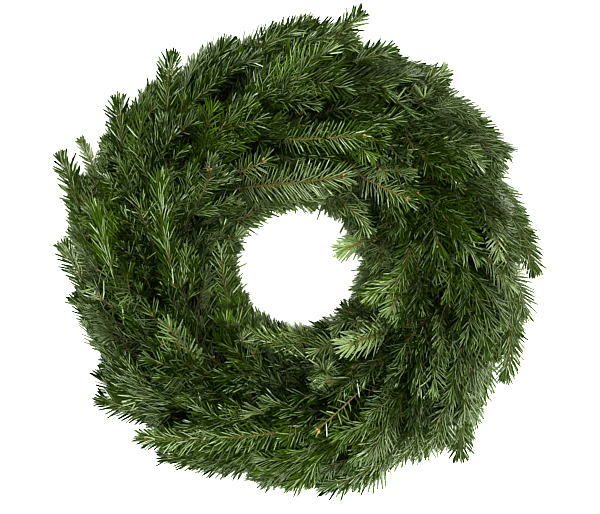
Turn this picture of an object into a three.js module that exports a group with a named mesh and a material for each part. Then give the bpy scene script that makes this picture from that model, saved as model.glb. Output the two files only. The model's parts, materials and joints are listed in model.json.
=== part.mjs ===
// A fresh evergreen wreath lying on its flat back, in millimetres, +Z up.
// Seen from straight above, +Y is the top of the wreath and +X its right-hand side.
//
// It is built the way such a wreath is bound. A ring of pressed straw is the base. Fir sprigs
// are laid on it in rows, each row round the outside, the crown and the inside of the ring,
// with every tip pointing clockwise. One thin wire ties the bare stem ends of each row down
// and goes on round the back of the straw to the next row, whose needles hide the tie.
//
// Most shapes are set out in ring coordinates:
//   turn   angle round the wreath, counter-clockwise seen from above
//   round  angle round the ring's section: 0 outward, 90 up, 180 towards the middle
//   reach  distance from the middle of the section
import * as THREE from 'three';
import { mergeVertices } from 'three/addons/utils/BufferGeometryUtils.js';

// ---- the straw ring ----
const RING_RADIUS = 152; // middle of the wreath to the middle of the section
const STRAW_RADIUS = 25; // the straw's section
const STRAW_MIDDLE = 22; // height of the section's middle: its flat back lies at 0
const WIRE_BED = 2.6; // how deep the wire has sunk into the straw of the back
const WIRE_BED_SIDE = 1.4; // and where it comes round the edges of the back
const BED_HALF = 8; // half the width of that furrow, measured round the ring
const GAP = 0.3; // clearance between pieces that touch

// ---- rows of sprigs ----
const ROWS = 14;
const ROW_TURN = 360 / ROWS; // from one row to the next
const FIRST_ROW = 58.5; // turn of the first row's stem ends
const PLACES = ['outer', 'shoulder', 'crown', 'inner'];
const PLACE_ROUND = 52; // room that each place has round the section
const FIRST_PLACE = 12; // round of the outer sprigs
const STAGGER = 13; // every other row is shifted round the section by this much either way
const CELL_MARGIN = 1.3; // left free at each edge of a place
const LOW_EDGE = 21; // how far below the ring's middle needles start
const FLOOR_GAP = 0.8; // between the lowest needles and the surface below

// ---- one sprig, with lengths counted in rows ----
const SPAN = 2.1; // from the cut end to the tip
const BARE = 0.3; // stem stripped of its needles
const TIE = 0.15; // where the wire crosses it
const LIFT_START = 0.2; // where the sprig begins to rise over the row before
const LAYER_RISE = 23; // rise over each row
const FOLIAGE_THICK = 20.6; // the needle mass, top to bottom
const WIDEST = 29; // and its greatest half-width
const STEM_DIAMETER = 5;
const FREE_FROM = 1.27; // from here on nothing lies over the sprig and it may spread
const FLARE_BELOW = 0.35; // share of that spread that its underside takes part in
const OUTWARD_DRIFT = 22; // how far sprigs of the crown lean outward, in degrees of round

// ---- the wire ----
const WIRE_DIAMETER = 1;
const WIRE_SIDES = 5;
const WIRE_SEAT = 1.2; // middle of the wire over the bottom of its furrow
const BACK_FROM = 222; // round at which the wire starts slanting across the back
const BACK_TO = 318;

// How far from the middle of the ring each row's outer tip and inner edge stand.
const OUTER_TIPS = [249, 262, 252, 261, 250, 244, 264, 250, 233, 259, 237, 238, 262, 246];
const INNER_EDGES = [62, 64, 62, 58, 62, 60, 63, 65, 64, 66, 63, 66, 61, 60];

// The needle mass along a sprig: place along it, half-width, thickness, forward sweep of its
// edges. Wide and narrow stations take turns, as side shoots and the gaps between them do.
const LONG_FOLIAGE = [
  [0.05, 0.46, 0.5, 0.0], [0.15, 0.84, 0.78, 0.01], [0.27, 1.0, 0.95, 0.045],
  [0.38, 0.7, 1.0, 0.0], [0.50, 1.0, 1.0, 0.05], [0.61, 0.68, 0.98, 0.0],
  [0.73, 0.98, 0.96, 0.05], [0.83, 0.62, 0.86, 0.0], [0.93, 0.66, 0.62, 0.03],
  [1.0, 0.16, 0.2, 0.0],
];
const SHORT_FOLIAGE = [
  [0.07, 0.52, 0.55, 0.0], [0.22, 0.96, 0.86, 0.03], [0.36, 0.78, 1.0, 0.0],
  [0.55, 1.0, 1.0, 0.05], [0.70, 0.72, 0.94, 0.0], [0.88, 0.76, 0.7, 0.04],
  [1.0, 0.16, 0.2, 0.0],
];
// The section of that mass: sideways from -1 to 1, and height from 0 to 1.
const FOLIAGE_SECTION = [
  [1.0, 0.42], [0.52, 0.84], [0.0, 1.0], [-0.52, 0.84], [-1.0, 0.42], [-0.5, 0.1], [0.5, 0.1],
];

const rad = THREE.MathUtils.degToRad;

/** The point at these ring coordinates, in degrees and millimetres. */
function ringPoint(turn, round, reach) {
  const out = RING_RADIUS + reach * Math.cos(rad(round));
  const up = STRAW_MIDDLE + reach * Math.sin(rad(round));
  return new THREE.Vector3(out * Math.cos(rad(turn)), out * Math.sin(rad(turn)), up);
}

/** A number from 0 to 1 that differs from sprig to sprig and is the same every time. */
function variety(row, place, kind) {
  const s = Math.sin(row * 12.9898 + place * 78.233 + kind * 37.719) * 43758.5453;
  return s - Math.floor(s);
}

/** The geometry with one vertex wherever several meet, each moved to where `place` puts it. */
function reshape(geometry, place) {
  geometry.deleteAttribute('normal');
  geometry.deleteAttribute('uv');
  const shape = mergeVertices(geometry, 1e-5);
  const position = shape.getAttribute('position');
  for (let i = 0; i < position.count; i++) {
    const p = place(position.getX(i), position.getY(i), position.getZ(i));
    position.setXYZ(i, p.x, p.y, p.z);
  }
  shape.computeVertexNormals();
  return shape;
}

// ---------------------------------------------------------------- rows and their wire turns

const rowTurn = (row) => FIRST_ROW + row * ROW_TURN;
const rowShift = (row) => (row % 2 ? STAGGER : -STAGGER) + 3 * (variety(row, 9, 4) - 0.5);
const placeRound = (row, place) => FIRST_PLACE + place * PLACE_ROUND + rowShift(row);

/** Turn of the wire that ties a row: straight over the stems, slanting on across the back. */
function wireTurn(row, round) {
  const back = THREE.MathUtils.clamp((round - BACK_FROM) / (BACK_TO - BACK_FROM), 0, 1);
  return rowTurn(row) - TIE * ROW_TURN + back * ROW_TURN;
}

/** How deep the wire's furrow is at this round. */
function bedDepth(round) {
  if (round > BACK_FROM && round < BACK_TO) return WIRE_BED;
  return round === BACK_FROM || round === BACK_TO || round === BACK_TO - 360 ? WIRE_BED_SIDE : 0;
}

// ---------------------------------------------------------------- the straw ring

// The flat back is the one long step of the section, from FLAT_FROM to FLAT_TO.
const FLAT_HALF = THREE.MathUtils.radToDeg(Math.acos(STRAW_MIDDLE / STRAW_RADIUS));
const FLAT_FROM = 270 - FLAT_HALF;
const FLAT_TO = 270 + FLAT_HALF;
const STRAW_ROUNDS = [
  BACK_TO - 360, -24, -6, 12, 30, 48, 66, 84, 102, 120, 138, 156, 174, 192, 207,
  BACK_FROM, FLAT_FROM, FLAT_TO,
];

/**
 * A ring whose columns follow the wire over the top and slantwise across the back, with a
 * furrow under each turn. Going once round the section leads on to the next row's columns.
 */
function strawRing() {
  const bed = THREE.MathUtils.radToDeg(BED_HALF / RING_RADIUS) / ROW_TURN;
  const steps = [0, bed, 0.36, 0.64, 1 - bed];
  const sides = STRAW_ROUNDS.length;
  const columns = ROWS * steps.length;
  const positions = [];
  const faces = [];
  for (let column = 0; column < columns; column++) {
    const row = Math.floor(column / steps.length);
    const step = steps[column % steps.length];
    STRAW_ROUNDS.forEach((round, side) => {
      const sunk = step ? 0 : bedDepth(round);
      const turn = wireTurn(row, round) + step * ROW_TURN;
      positions.push(...ringPoint(turn, round, STRAW_RADIUS - sunk).toArray());
      const corner = (c, s) =>
        s < sides ? (c % columns) * sides + s : ((c + steps.length) % columns) * sides;
      const [a, b] = [corner(column, side), corner(column + 1, side)];
      const [c, d] = [corner(column + 1, side + 1), corner(column, side + 1)];
      faces.push(a, b, d, b, c, d);
    });
  }
  const ring = new THREE.BufferGeometry();
  ring.setAttribute('position', new THREE.Float32BufferAttribute(positions, 3));
  ring.setIndex(faces);
  ring.computeVertexNormals();
  return ring;
}

// ---------------------------------------------------------------- the binding wire

/** The rounds and reaches that a tight wire takes over one row's stems and the straw. */
function wireRow(row) {
  const half = WIRE_DIAMETER / 2;
  const points = [];
  for (const round of STRAW_ROUNDS) {
    const bed = bedDepth(round);
    points.push([round, STRAW_RADIUS + (bed ? WIRE_SEAT - bed : GAP + half)]);
  }
  const overStem = STRAW_RADIUS + GAP + STEM_DIAMETER + GAP + half;
  PLACES.forEach((_, place) => {
    const round = placeRound(row, place);
    points.push([round - 4, overStem], [round + 4, overStem]);
  });
  points.sort((a, b) => a[0] - b[0]);
  // keep only the points that a taut wire touches
  const flat = points.map(([round, reach]) => [
    round, reach, reach * Math.cos(rad(round)), reach * Math.sin(rad(round)),
  ]);
  const kept = [];
  for (const p of flat) {
    while (kept.length > 1) {
      const [, , ax, ay] = kept[kept.length - 2];
      const [, , bx, by] = kept[kept.length - 1];
      if ((bx - ax) * (p[3] - ay) - (by - ay) * (p[2] - ax) > 1e-9) break;
      kept.pop();
    }
    kept.push(p);
  }
  return kept.map(([round, reach]) => ringPoint(wireTurn(row, round), round, reach));
}

/** A curve through given corners, sampled at those corners and nowhere else. */
class CornerPath extends THREE.Curve {
  constructor(corners) {
    super();
    this.corners = corners;
  }
  getPoint(t, target = new THREE.Vector3()) {
    const last = this.corners.length - 1;
    const i = Math.min(last, Math.max(0, Math.round(t * last)));
    return target.copy(this.corners[i]);
  }
  getPointAt(u, target) {
    return this.getPoint(u, target);
  }
  getTangentAt(u, target = new THREE.Vector3()) {
    const last = this.corners.length - 1;
    const i = Math.min(last, Math.max(0, Math.round(u * last)));
    const before = this.corners[Math.max(0, i - 1)];
    const after = this.corners[Math.min(last, i + 1)];
    return target.subVectors(after, before).normalize();
  }
}

function bindingWire() {
  const corners = [];
  for (let row = 0; row < ROWS; row++) corners.push(...wireRow(row));
  corners.pop(); // the wire ends on the back, short of where it began
  const section = new THREE.Shape();
  for (let i = 0; i < WIRE_SIDES; i++) {
    const a = (2 * Math.PI * i) / WIRE_SIDES;
    const x = (WIRE_DIAMETER / 2) * Math.cos(a);
    const y = (WIRE_DIAMETER / 2) * Math.sin(a);
    if (i) section.lineTo(x, y);
    else section.moveTo(x, y);
  }
  section.closePath();
  return new THREE.ExtrudeGeometry(section, {
    steps: corners.length - 1,
    extrudePath: new CornerPath(corners),
    bevelEnabled: false,
  });
}

// ---------------------------------------------------------------- the sprigs

/** Height of a sprig's underside over the straw, at this many rows from its cut end. */
const lift = (along) => GAP + LAYER_RISE * Math.max(0, along - LIFT_START);

/** The lean of the sprigs towards the outside, none at the two lower edges of the ring. */
function leaned(round, along, span) {
  const arc = THREE.MathUtils.clamp((round + 14) / 212, 0, 1);
  const share = THREE.MathUtils.clamp(along / span, 0, 1.05);
  return round - OUTWARD_DRIFT * Math.sin(Math.PI * arc) * share ** 1.2;
}

/** Rounds stay clear of the surface under the wreath and of the wire on its back. */
function clearRound(round, reach) {
  const low = (STRAW_MIDDLE - FLOOR_GAP) / reach;
  const limit = Math.min(LOW_EDGE, THREE.MathUtils.radToDeg(Math.asin(Math.min(1, low))));
  return THREE.MathUtils.clamp(round, -limit, 180 + limit);
}

/** How much further out than the plain layer this sprig's tip stands. */
function tipFlare(row, place, span) {
  const middle = leaned(placeRound(row, place), span, span);
  const plain = STRAW_RADIUS + lift(span) + FOLIAGE_THICK * 0.2;
  const out = Math.cos(rad(middle));
  if (place === 0) return Math.max(4, (OUTER_TIPS[row] - RING_RADIUS) / out - plain);
  if (place === 3) return Math.max(4, (RING_RADIUS - INNER_EDGES[row]) / -out - plain - 6);
  return 8 + 10 * variety(row, place, 3);
}

/**
 * One sprig: a bare stem end lying on the straw, and the flattened mass of its needles and
 * side shoots, which rises over the stem ends of the next row round and ends in a point.
 */
function sprig(row, place) {
  const foliage = place === 3 ? SHORT_FOLIAGE : LONG_FOLIAGE;
  const span = SPAN * (0.96 + 0.08 * variety(row, place, 1));
  const fullness = 0.9 + 0.1 * variety(row, place, 2);
  const flare = tipFlare(row, place, span);
  const middle = placeRound(row, place);
  const sides = FOLIAGE_SECTION.length;
  const stations = [[0, null], [TIE, null], [BARE, null], ...foliage.map((f) => [0, f])];
  const bands = stations.length - 1;

  const spread = (along) => {
    const free = THREE.MathUtils.clamp((along - FREE_FROM) / (span - FREE_FROM), 0, 1.05);
    return flare * free ** 1.5;
  };
  const at = (along, round, reach) =>
    ringPoint(rowTurn(row) - along * ROW_TURN, clearRound(round, reach), reach);

  const onStem = (along, x, y) => {
    const reach = STRAW_RADIUS + lift(along) + STEM_DIAMETER / 2;
    const aside = THREE.MathUtils.radToDeg(((STEM_DIAMETER / 2) * x) / reach);
    return at(along, leaned(middle, along, span) + aside, reach + (STEM_DIAMETER / 2) * y);
  };
  const inFoliage = ([place01, wide, thick, sweep], aside, height) => {
    const along = BARE + (span - BARE) * (place01 + sweep * Math.abs(aside));
    const plain = STRAW_RADIUS + lift(along) + FOLIAGE_THICK * thick * height;
    const reach = plain + spread(along) * (FLARE_BELOW + (1 - FLARE_BELOW) * height);
    const room = PLACE_ROUND / 2 - CELL_MARGIN;
    const half = Math.min(room, THREE.MathUtils.radToDeg(WIDEST / reach)) * wide * fullness;
    return at(along, leaned(middle + half * aside, along, span), reach);
  };

  const tube = new THREE.CylinderGeometry(1, 1, 1, sides, bands);
  return reshape(tube, (x, y, z) => {
    const [along, leaf] = stations[Math.round((0.5 - y) * bands)];
    const centre = Math.hypot(x, z) < 0.5;
    if (!leaf) {
      if (centre) return onStem(along, 0, 0);
      const side = (Math.round((Math.atan2(x, z) / (2 * Math.PI)) * sides) + sides) % sides;
      const angle = Math.PI / 2 + (2 * Math.PI * (side - 2)) / sides;
      return onStem(along, Math.cos(angle), Math.sin(angle));
    }
    if (centre) return inFoliage([leaf[0] + 0.03, 0, leaf[2], 0], 0, 0.5);
    const side = (Math.round((Math.atan2(x, z) / (2 * Math.PI)) * sides) + sides) % sides;
    return inFoliage(leaf, ...FOLIAGE_SECTION[side]);
  });
}

// ---------------------------------------------------------------- the wreath

const wreath = new THREE.Group();
const pieces = new THREE.Group();
wreath.add(pieces);

function addPiece(name, geometry, color, roughness, metalness = 0) {
  const material = new THREE.MeshStandardMaterial({ color, roughness, metalness });
  const mesh = new THREE.Mesh(geometry, material);
  mesh.name = name;
  pieces.add(mesh);
}

addPiece('straw_ring', strawRing(), 0xb9975a, 0.9);
addPiece('binding_wire', bindingWire(), 0x2f4a2c, 0.45, 0.6);
for (let row = 0; row < ROWS; row++) {
  PLACES.forEach((name, place) => {
    const shade = new THREE.Color(0x3e4c27);
    shade.offsetHSL(0.02 * (variety(row, place, 6) - 0.5), 0, 0.06 * (variety(row, place, 7) - 0.5));
    addPiece(`sprig_${String(row + 1).padStart(2, '0')}_${name}`, sprig(row, place), shade, 0.6);
  });
}

// The frame's origin is the middle of the wreath's outline, at the level of its flat back.
const box = new THREE.Box3().setFromObject(pieces);
const centre = box.getCenter(new THREE.Vector3());
pieces.position.set(-centre.x, -centre.y, -box.min.z);

export default wreath;
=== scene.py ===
"""Looks of a fresh evergreen wreath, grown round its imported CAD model.

Every CAD sprig is replaced by a real one: a woody twig with side shoots, flat fir needles set
in a spiral and brushed to the sides, and resting buds at the tips. The twigs follow the CAD
sprigs, so rows, stagger and outline are the CAD's own. The straw ring gets its stalks and
twine, and the binding wire keeps its CAD shape under a lacquer.

All lengths are metres in the CAD's own frame: +Z out of the wreath's face, +Y its top.
"""

from __future__ import annotations

import json
import logging
import math
from collections.abc import Callable
from dataclasses import dataclass, field
from enum import Enum

import bpy
import numpy as np
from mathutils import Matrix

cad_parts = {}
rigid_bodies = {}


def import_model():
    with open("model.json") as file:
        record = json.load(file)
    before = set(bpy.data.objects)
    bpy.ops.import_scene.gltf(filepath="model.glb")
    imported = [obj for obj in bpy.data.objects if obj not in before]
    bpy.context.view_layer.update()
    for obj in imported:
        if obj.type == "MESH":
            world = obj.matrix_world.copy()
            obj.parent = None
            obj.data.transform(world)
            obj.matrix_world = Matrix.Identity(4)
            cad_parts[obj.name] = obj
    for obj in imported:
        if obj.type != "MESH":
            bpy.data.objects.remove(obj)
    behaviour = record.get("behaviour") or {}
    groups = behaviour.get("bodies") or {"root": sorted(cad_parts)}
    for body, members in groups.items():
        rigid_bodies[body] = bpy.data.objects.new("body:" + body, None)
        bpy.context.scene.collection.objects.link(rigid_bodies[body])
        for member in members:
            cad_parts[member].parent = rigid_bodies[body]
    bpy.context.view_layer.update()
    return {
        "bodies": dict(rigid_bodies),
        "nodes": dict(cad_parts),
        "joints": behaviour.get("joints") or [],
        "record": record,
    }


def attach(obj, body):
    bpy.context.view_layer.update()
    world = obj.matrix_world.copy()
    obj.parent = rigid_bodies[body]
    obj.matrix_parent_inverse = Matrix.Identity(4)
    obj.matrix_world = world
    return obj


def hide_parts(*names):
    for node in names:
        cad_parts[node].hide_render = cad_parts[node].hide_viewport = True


LOG = logging.getLogger("wreath")
MM = 0.001
GOLDEN_TURN = math.radians(137.508)
PATTERN_MAP = "pattern"
ATLAS_MAP = "OFBake"
TINT = "tint"
NEEDLE_BLOCK = ((0, 0), (1, 0.86))
TWIG_BLOCK = ((0, 0.87), (0.7, 1))
BUD_BLOCK = ((0.71, 0.87), (1, 1))
RING_BLOCK = ((0, 0), (1, 0.6))
STALK_BLOCK = ((0, 0.61), (1, 0.92))
TWINE_BLOCK = ((0, 0.93), (1, 1))
FLIPPED = [0, 3, 2, 1]
Triple = tuple[float, float, float]


# ---- helpers


def unit(vectors: np.ndarray) -> np.ndarray:
    """Vectors divided by their own lengths."""
    return vectors / np.maximum(np.linalg.norm(vectors, axis=-1, keepdims=True), 1e-12)


def square_to(vectors: np.ndarray, axis: np.ndarray) -> np.ndarray:
    """Unit vectors at right angles to axis: each vector less its share along axis."""
    return unit(vectors - np.sum(vectors * axis, axis=-1, keepdims=True) * axis)


def smoothstep(low: float, high: float, x: np.ndarray) -> np.ndarray:
    """0 below low, 1 above high, and 3t^2 - 2t^3 between them."""
    t = np.clip((x - low) / (high - low), 0.0, 1.0)
    return t * t * (3.0 - 2.0 * t)


def bell(x: np.ndarray, wide: float) -> np.ndarray:
    """exp(-(x / wide)^2): 1 in the middle, falling off to both sides."""
    return np.exp(-((x / wide) ** 2))


def settle(values: np.ndarray, passes: int) -> np.ndarray:
    """A row of numbers smoothed by averaging each with its neighbours, ends held."""
    out = values.astype(float).copy()
    for _ in range(passes):
        out[1:-1] = (out[:-2] + 2 * out[1:-1] + out[2:]) / 4
    return out


def read_along(places: np.ndarray, at: np.ndarray, values: np.ndarray) -> np.ndarray:
    """Linear reading of rows of values, given at places, at other places.

    Args:
        places: growing places of the rows, shape (k,).
        at: places to read at, shape (n,).
        values: one row per place, shape (k, c).

    Returns:
        One row per reading, shape (n, c).
    """
    return np.stack([np.interp(at, places, column) for column in values.T], axis=-1)


def travelled(path: np.ndarray) -> np.ndarray:
    """Distance from the start of a path to each of its points."""
    steps = np.linalg.norm(np.diff(path, axis=0), axis=1)
    return np.concatenate([[0.0], np.cumsum(steps)])


def circle(sides: int, start: float = 0.0) -> np.ndarray:
    """Points of the unit circle at even steps from the start angle, shape (sides, 2)."""
    angle = np.arange(sides) / sides * math.tau + start
    return np.stack([np.cos(angle), np.sin(angle)], axis=-1)


def spokes(across: np.ndarray, side: np.ndarray, sides: int, start: float = 0.0) -> np.ndarray:
    """Across times cos plus side times sin of even steps of a turn, shape (n, sides, 3)."""
    cos, sin = circle(sides, start).T[..., None]
    return across[:, None] * cos + side[:, None] * sin


def grid(rows: int, columns: int) -> tuple[np.ndarray, np.ndarray]:
    """Row and column number of each cell of a grid, row by row."""
    cells = np.meshgrid(np.arange(rows), np.arange(columns), indexing="ij")
    return cells[0].ravel(), cells[1].ravel()


def wall(rows: int, columns: int, closed: bool = False) -> tuple[np.ndarray, np.ndarray]:
    """Quads between rows of points that each close on themselves.

    Point (row, column) has the number row * columns + column, and a quad's corners go to the
    next column, on to the next row and back.

    Args:
        rows: how many rows there are.
        columns: points in a row.
        closed: whether the last row joins the first.

    Returns:
        Corner numbers, shape (faces, 4), and the corners' rows and columns, counted on past
        the last one where the wall closes, shape (faces, 4, 2).
    """
    row, column = grid(rows if closed else rows - 1, columns)
    at = np.stack([row, column], axis=-1)[:, None] + np.array([(0, 0), (0, 1), (1, 1), (1, 0)])
    return at[..., 0] % rows * columns + at[..., 1] % columns, at


def cone(
    first: int, sides: int, point: int, heights: Triple, around: float
) -> tuple[np.ndarray, np.ndarray]:
    """Triangles that close a row of points in one point, and their pattern coordinates.

    Args:
        first: number of the row's first point.
        sides: points in the row.
        point: number of the one point.
        heights: second pattern coordinate of a triangle's three corners.
        around: sides that go to 1 in the first one.

    Returns:
        Corner numbers, shape (sides, 3), and coordinates, shape (sides, 3, 2).
    """
    k = np.arange(sides)
    corners = np.stack([first + k, first + (k + 1) % sides, np.full(sides, point)], axis=-1)
    u = (k[:, None] + np.array([0.0, 1.0, 0.5])) / around
    return corners, np.stack([u, np.broadcast_to(heights, u.shape)], axis=-1)


def linked(name: str, data: bpy.types.ID) -> bpy.types.Object:
    """A new object that shows the data, linked to the scene."""
    made = bpy.data.objects.new(name, data)
    bpy.context.scene.collection.objects.link(made)
    return made


# ---- where things are


@dataclass(frozen=True)
class RingFrame:
    """Ring coordinates: turn round the wreath, round the section, reach from its middle.

    Attributes:
        centre: where the wreath's middle lies.
        radius: from there to the middle of the section.
        height: how high that lies.
    """

    centre: tuple[float, float]
    radius: float = 0.152
    height: float = 0.022

    def point(self, turn: np.ndarray, round_: np.ndarray, reach: np.ndarray) -> np.ndarray:
        """Points at these ring coordinates, angles in radians.

        A point lies radius + reach cos(round) from the middle and height + reach sin(round) up.
        """
        out = self.radius + reach * np.cos(round_)
        x = self.centre[0] + out * np.cos(turn)
        y = self.centre[1] + out * np.sin(turn)
        return np.stack([x, y, self.height + reach * np.sin(round_)], axis=-1)

    def coordinates(self, points: np.ndarray) -> tuple[np.ndarray, np.ndarray, np.ndarray]:
        """Turn, round and reach of points, with round from -90 to 270 degrees."""
        x, y = (points[:, :2] - np.array(self.centre)).T
        out = np.hypot(x, y) - self.radius
        up = points[:, 2] - self.height
        round_ = np.arctan2(up, out)
        round_ = np.where(round_ < -math.pi / 2, round_ + math.tau, round_)
        return np.arctan2(y, x), round_, np.hypot(out, up)


def node_arrays(node: bpy.types.Object) -> tuple[np.ndarray, np.ndarray]:
    """Vertex places and triangle corners of a CAD node, as arrays."""
    mesh = node.data
    places = np.empty(len(mesh.vertices) * 3)
    mesh.vertices.foreach_get("co", places)
    mesh.calc_loop_triangles()
    corners = np.empty(len(mesh.loop_triangles) * 3, dtype=np.int64)
    mesh.loop_triangles.foreach_get("vertices", corners)
    return places.reshape(-1, 3), corners.reshape(-1, 3)


def ring_from_straw(node: bpy.types.Object) -> RingFrame:
    """The ring frame about the straw ring's own middle, its area-weighted centre."""
    places, corners = node_arrays(node)
    a, b, c = (places[corners[:, i]] for i in range(3))
    area = np.linalg.norm(np.cross(b - a, c - a), axis=1)
    middle = ((a + b + c) / 3 * area[:, None]).sum(axis=0) / area.sum()
    return RingFrame(centre=(float(middle[0]), float(middle[1])))


@dataclass
class Spine:
    """The middle line of one CAD sprig, with its frame.

    It goes from the cut end to the tip; up is the way out of the ring at each of its points,
    and side the way to the right.
    """

    points: np.ndarray
    up: np.ndarray
    side: np.ndarray

    def __post_init__(self) -> None:
        """Works out the distance along the line."""
        self.far = travelled(self.points)
        self.length = float(self.far[-1])

    def turned(self, flat: float, more: int = 4, step: float = 15 * MM) -> "Spine":
        """This line carried on straight ahead, its sprays turned by flat towards +Z.

        The new up is (1 - flat) times the old one plus flat times +Z, made square to the line.

        Args:
            flat: share of the way to +Z.
            more: how many points it is carried on by.
            step: from one of them to the next.

        Returns:
            The longer line; its length stays the sprig's own.
        """
        ahead = unit(self.points[-1] - self.points[-4])
        beyond = self.points[-1] + ahead * (np.arange(1, more + 1) * step)[:, None]
        points = np.concatenate([self.points, beyond])
        tangent = unit(np.gradient(points, axis=0))
        up = np.concatenate([self.up, np.repeat(self.up[-1:], more, axis=0)])
        up = square_to(up * (1 - flat) + np.array([0.0, 0.0, flat]), tangent)
        line = Spine(points, up, np.cross(tangent, up))
        line.length = self.length
        return line

    @classmethod
    def read(
        cls,
        node: bpy.types.Object,
        ring: RingFrame,
        stations: int = 30,
        ends: tuple[float, float] = (0.012, 0.985),
    ) -> "Spine":
        """Reads the line from a CAD node by cutting it at evenly spaced turns.

        Each cut collects where the node's edges cross one turn; the middle of the crossings'
        rounds and reaches is the line.

        Args:
            node: the CAD sprig.
            ring: the ring frame it lies in.
            stations: how many cuts are made.
            ends: the first and the last, as shares of the node's turn.

        Returns:
            The sprig's spine, from its cut end to its tip.
        """
        places, corners = node_arrays(node)
        turn, round_, reach = ring.coordinates(places)
        mean = math.atan2(np.sin(turn).sum(), np.cos(turn).sum())
        back = (turn - mean + math.pi) % math.tau - math.pi
        along = back.max() - back
        edges = np.concatenate([corners[:, [0, 1]], corners[:, [1, 2]], corners[:, [2, 0]]])
        start, end = edges.T
        run = along[end] - along[start]
        cuts = np.linspace(*ends, stations) * along.max()
        share = (cuts[:, None] - along[start]) / np.where(np.abs(run) < 1e-9, np.inf, run)
        crossed = (share > 0) & (share < 1)

        def middle(values: np.ndarray) -> np.ndarray:
            """Middle of the values at each cut's crossings."""
            at = values[start] + share * (values[end] - values[start])
            low = np.where(crossed, at, np.inf).min(axis=1)
            return (low + np.where(crossed, at, -np.inf).max(axis=1)) / 2

        mid_round, mid_reach = settle(middle(round_), 2), settle(middle(reach), 1)
        turns = mean + back.max() - cuts
        points = ring.point(turns, mid_round, mid_reach)
        outward = ring.point(turns, mid_round, mid_reach + 10 * MM) - points
        tangent = unit(np.gradient(points, axis=0))
        up = square_to(outward, tangent)
        return cls(points, up, np.cross(tangent, up))

    def place(self, far: np.ndarray, aside: np.ndarray, above: np.ndarray) -> np.ndarray:
        """Points this far along the line, this far to its right and this far above it."""
        base = read_along(self.far, far, self.points)
        side = unit(read_along(self.far, far, self.side))
        up = unit(read_along(self.far, far, self.up))
        return base + side * aside[:, None] + up * above[:, None]

    def up_at(self, far: np.ndarray) -> np.ndarray:
        """The outward direction this far along the line."""
        return unit(read_along(self.far, far, self.up))

    def point_at(self, before: float) -> np.ndarray:
        """The line's point this far before its end."""
        return self.place(np.array([self.length - before]), np.zeros(1), np.zeros(1))[0]


# ---- building meshes


@dataclass
class Skin:
    """Faces of one piece as they are made, and the mesh object they become.

    Attributes:
        lots: arrays of places, tints, corners, face sizes, pattern and bake coordinates,
            material slots and smooth flags, a lot for each call of add.
        count: vertices so far.
    """

    lots: dict[str, list[np.ndarray]] = field(default_factory=dict)
    count: int = 0

    def hold(self, **arrays: np.ndarray) -> None:
        """Puts each array with the others of its name."""
        for name, array in arrays.items():
            self.lots.setdefault(name, []).append(array)

    def add(
        self,
        places: np.ndarray,
        tints: np.ndarray,
        faces: list[np.ndarray],
        pattern: list[np.ndarray],
        atlas: list[np.ndarray],
        slot: int,
        rounded: bool = True,
    ) -> None:
        """Adds shapes that share one layout of faces.

        Args:
            places: vertex places, shape (shapes, vertices, 3).
            tints: one colour vector per shape, shape (shapes, 3).
            faces: arrays of corner numbers within a shape, one array per face size.
            pattern: pattern coordinates per corner for each of those, shape (f, size, 2).
            atlas: bake coordinates per shape and corner for each, shape (shapes, f, size, 2).
            slot: the material slot.
            rounded: whether their faces are shaded smooth.
        """
        shapes, each = places.shape[:2]
        starts = self.count + np.arange(shapes) * each
        self.hold(places=places.reshape(-1, 3), tints=np.repeat(tints, each, axis=0))
        for kind, drawn, laid in zip(faces, pattern, atlas):
            made = shapes * len(kind)
            self.hold(
                corners=(starts[:, None, None] + kind[None]).reshape(-1),
                sizes=np.full(made, kind.shape[1]),
                pattern=np.broadcast_to(drawn, (shapes, *drawn.shape)).reshape(-1, 2),
                atlas=laid.reshape(-1, 2),
                slots=np.full(made, slot),
                rounded=np.full(made, rounded),
            )
        self.count += shapes * each

    def build(self, name: str, materials: list[bpy.types.Material]) -> bpy.types.Object:
        """Makes the mesh object, with its two maps and its tint.

        Args:
            name: the piece's name.
            materials: one per slot.

        Returns:
            The object, linked to the scene, with its place in its mesh.
        """
        mesh = bpy.data.meshes.new(name)
        whole = {key: np.concatenate(lots) for key, lots in self.lots.items()}
        mesh.vertices.add(len(whole["places"]))
        mesh.vertices.foreach_set("co", whole["places"].astype(np.float32).ravel())
        mesh.loops.add(len(whole["corners"]))
        mesh.loops.foreach_set("vertex_index", whole["corners"].astype(np.int32))
        mesh.polygons.add(len(whole["sizes"]))
        starts = np.concatenate([[0], np.cumsum(whole["sizes"])[:-1]])
        mesh.polygons.foreach_set("loop_start", starts.astype(np.int32))
        mesh.polygons.foreach_set("material_index", whole["slots"].astype(np.int32))
        mesh.update(calc_edges=True)
        mesh.polygons.foreach_set("use_smooth", whole["rounded"])
        for layer, key in ((PATTERN_MAP, "pattern"), (ATLAS_MAP, "atlas")):
            uv = mesh.uv_layers.new(name=layer, do_init=False)
            uv.data.foreach_set("uv", whole[key].astype(np.float32).ravel())
        tint = mesh.attributes.new(TINT, "FLOAT_VECTOR", "POINT")
        tint.data.foreach_set("vector", whole["tints"].astype(np.float32).ravel())
        mesh.uv_layers.active = mesh.uv_layers[PATTERN_MAP]
        mesh.uv_layers[PATTERN_MAP].active_render = True
        for material in materials:
            mesh.materials.append(material)
        return linked(name, mesh)


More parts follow.
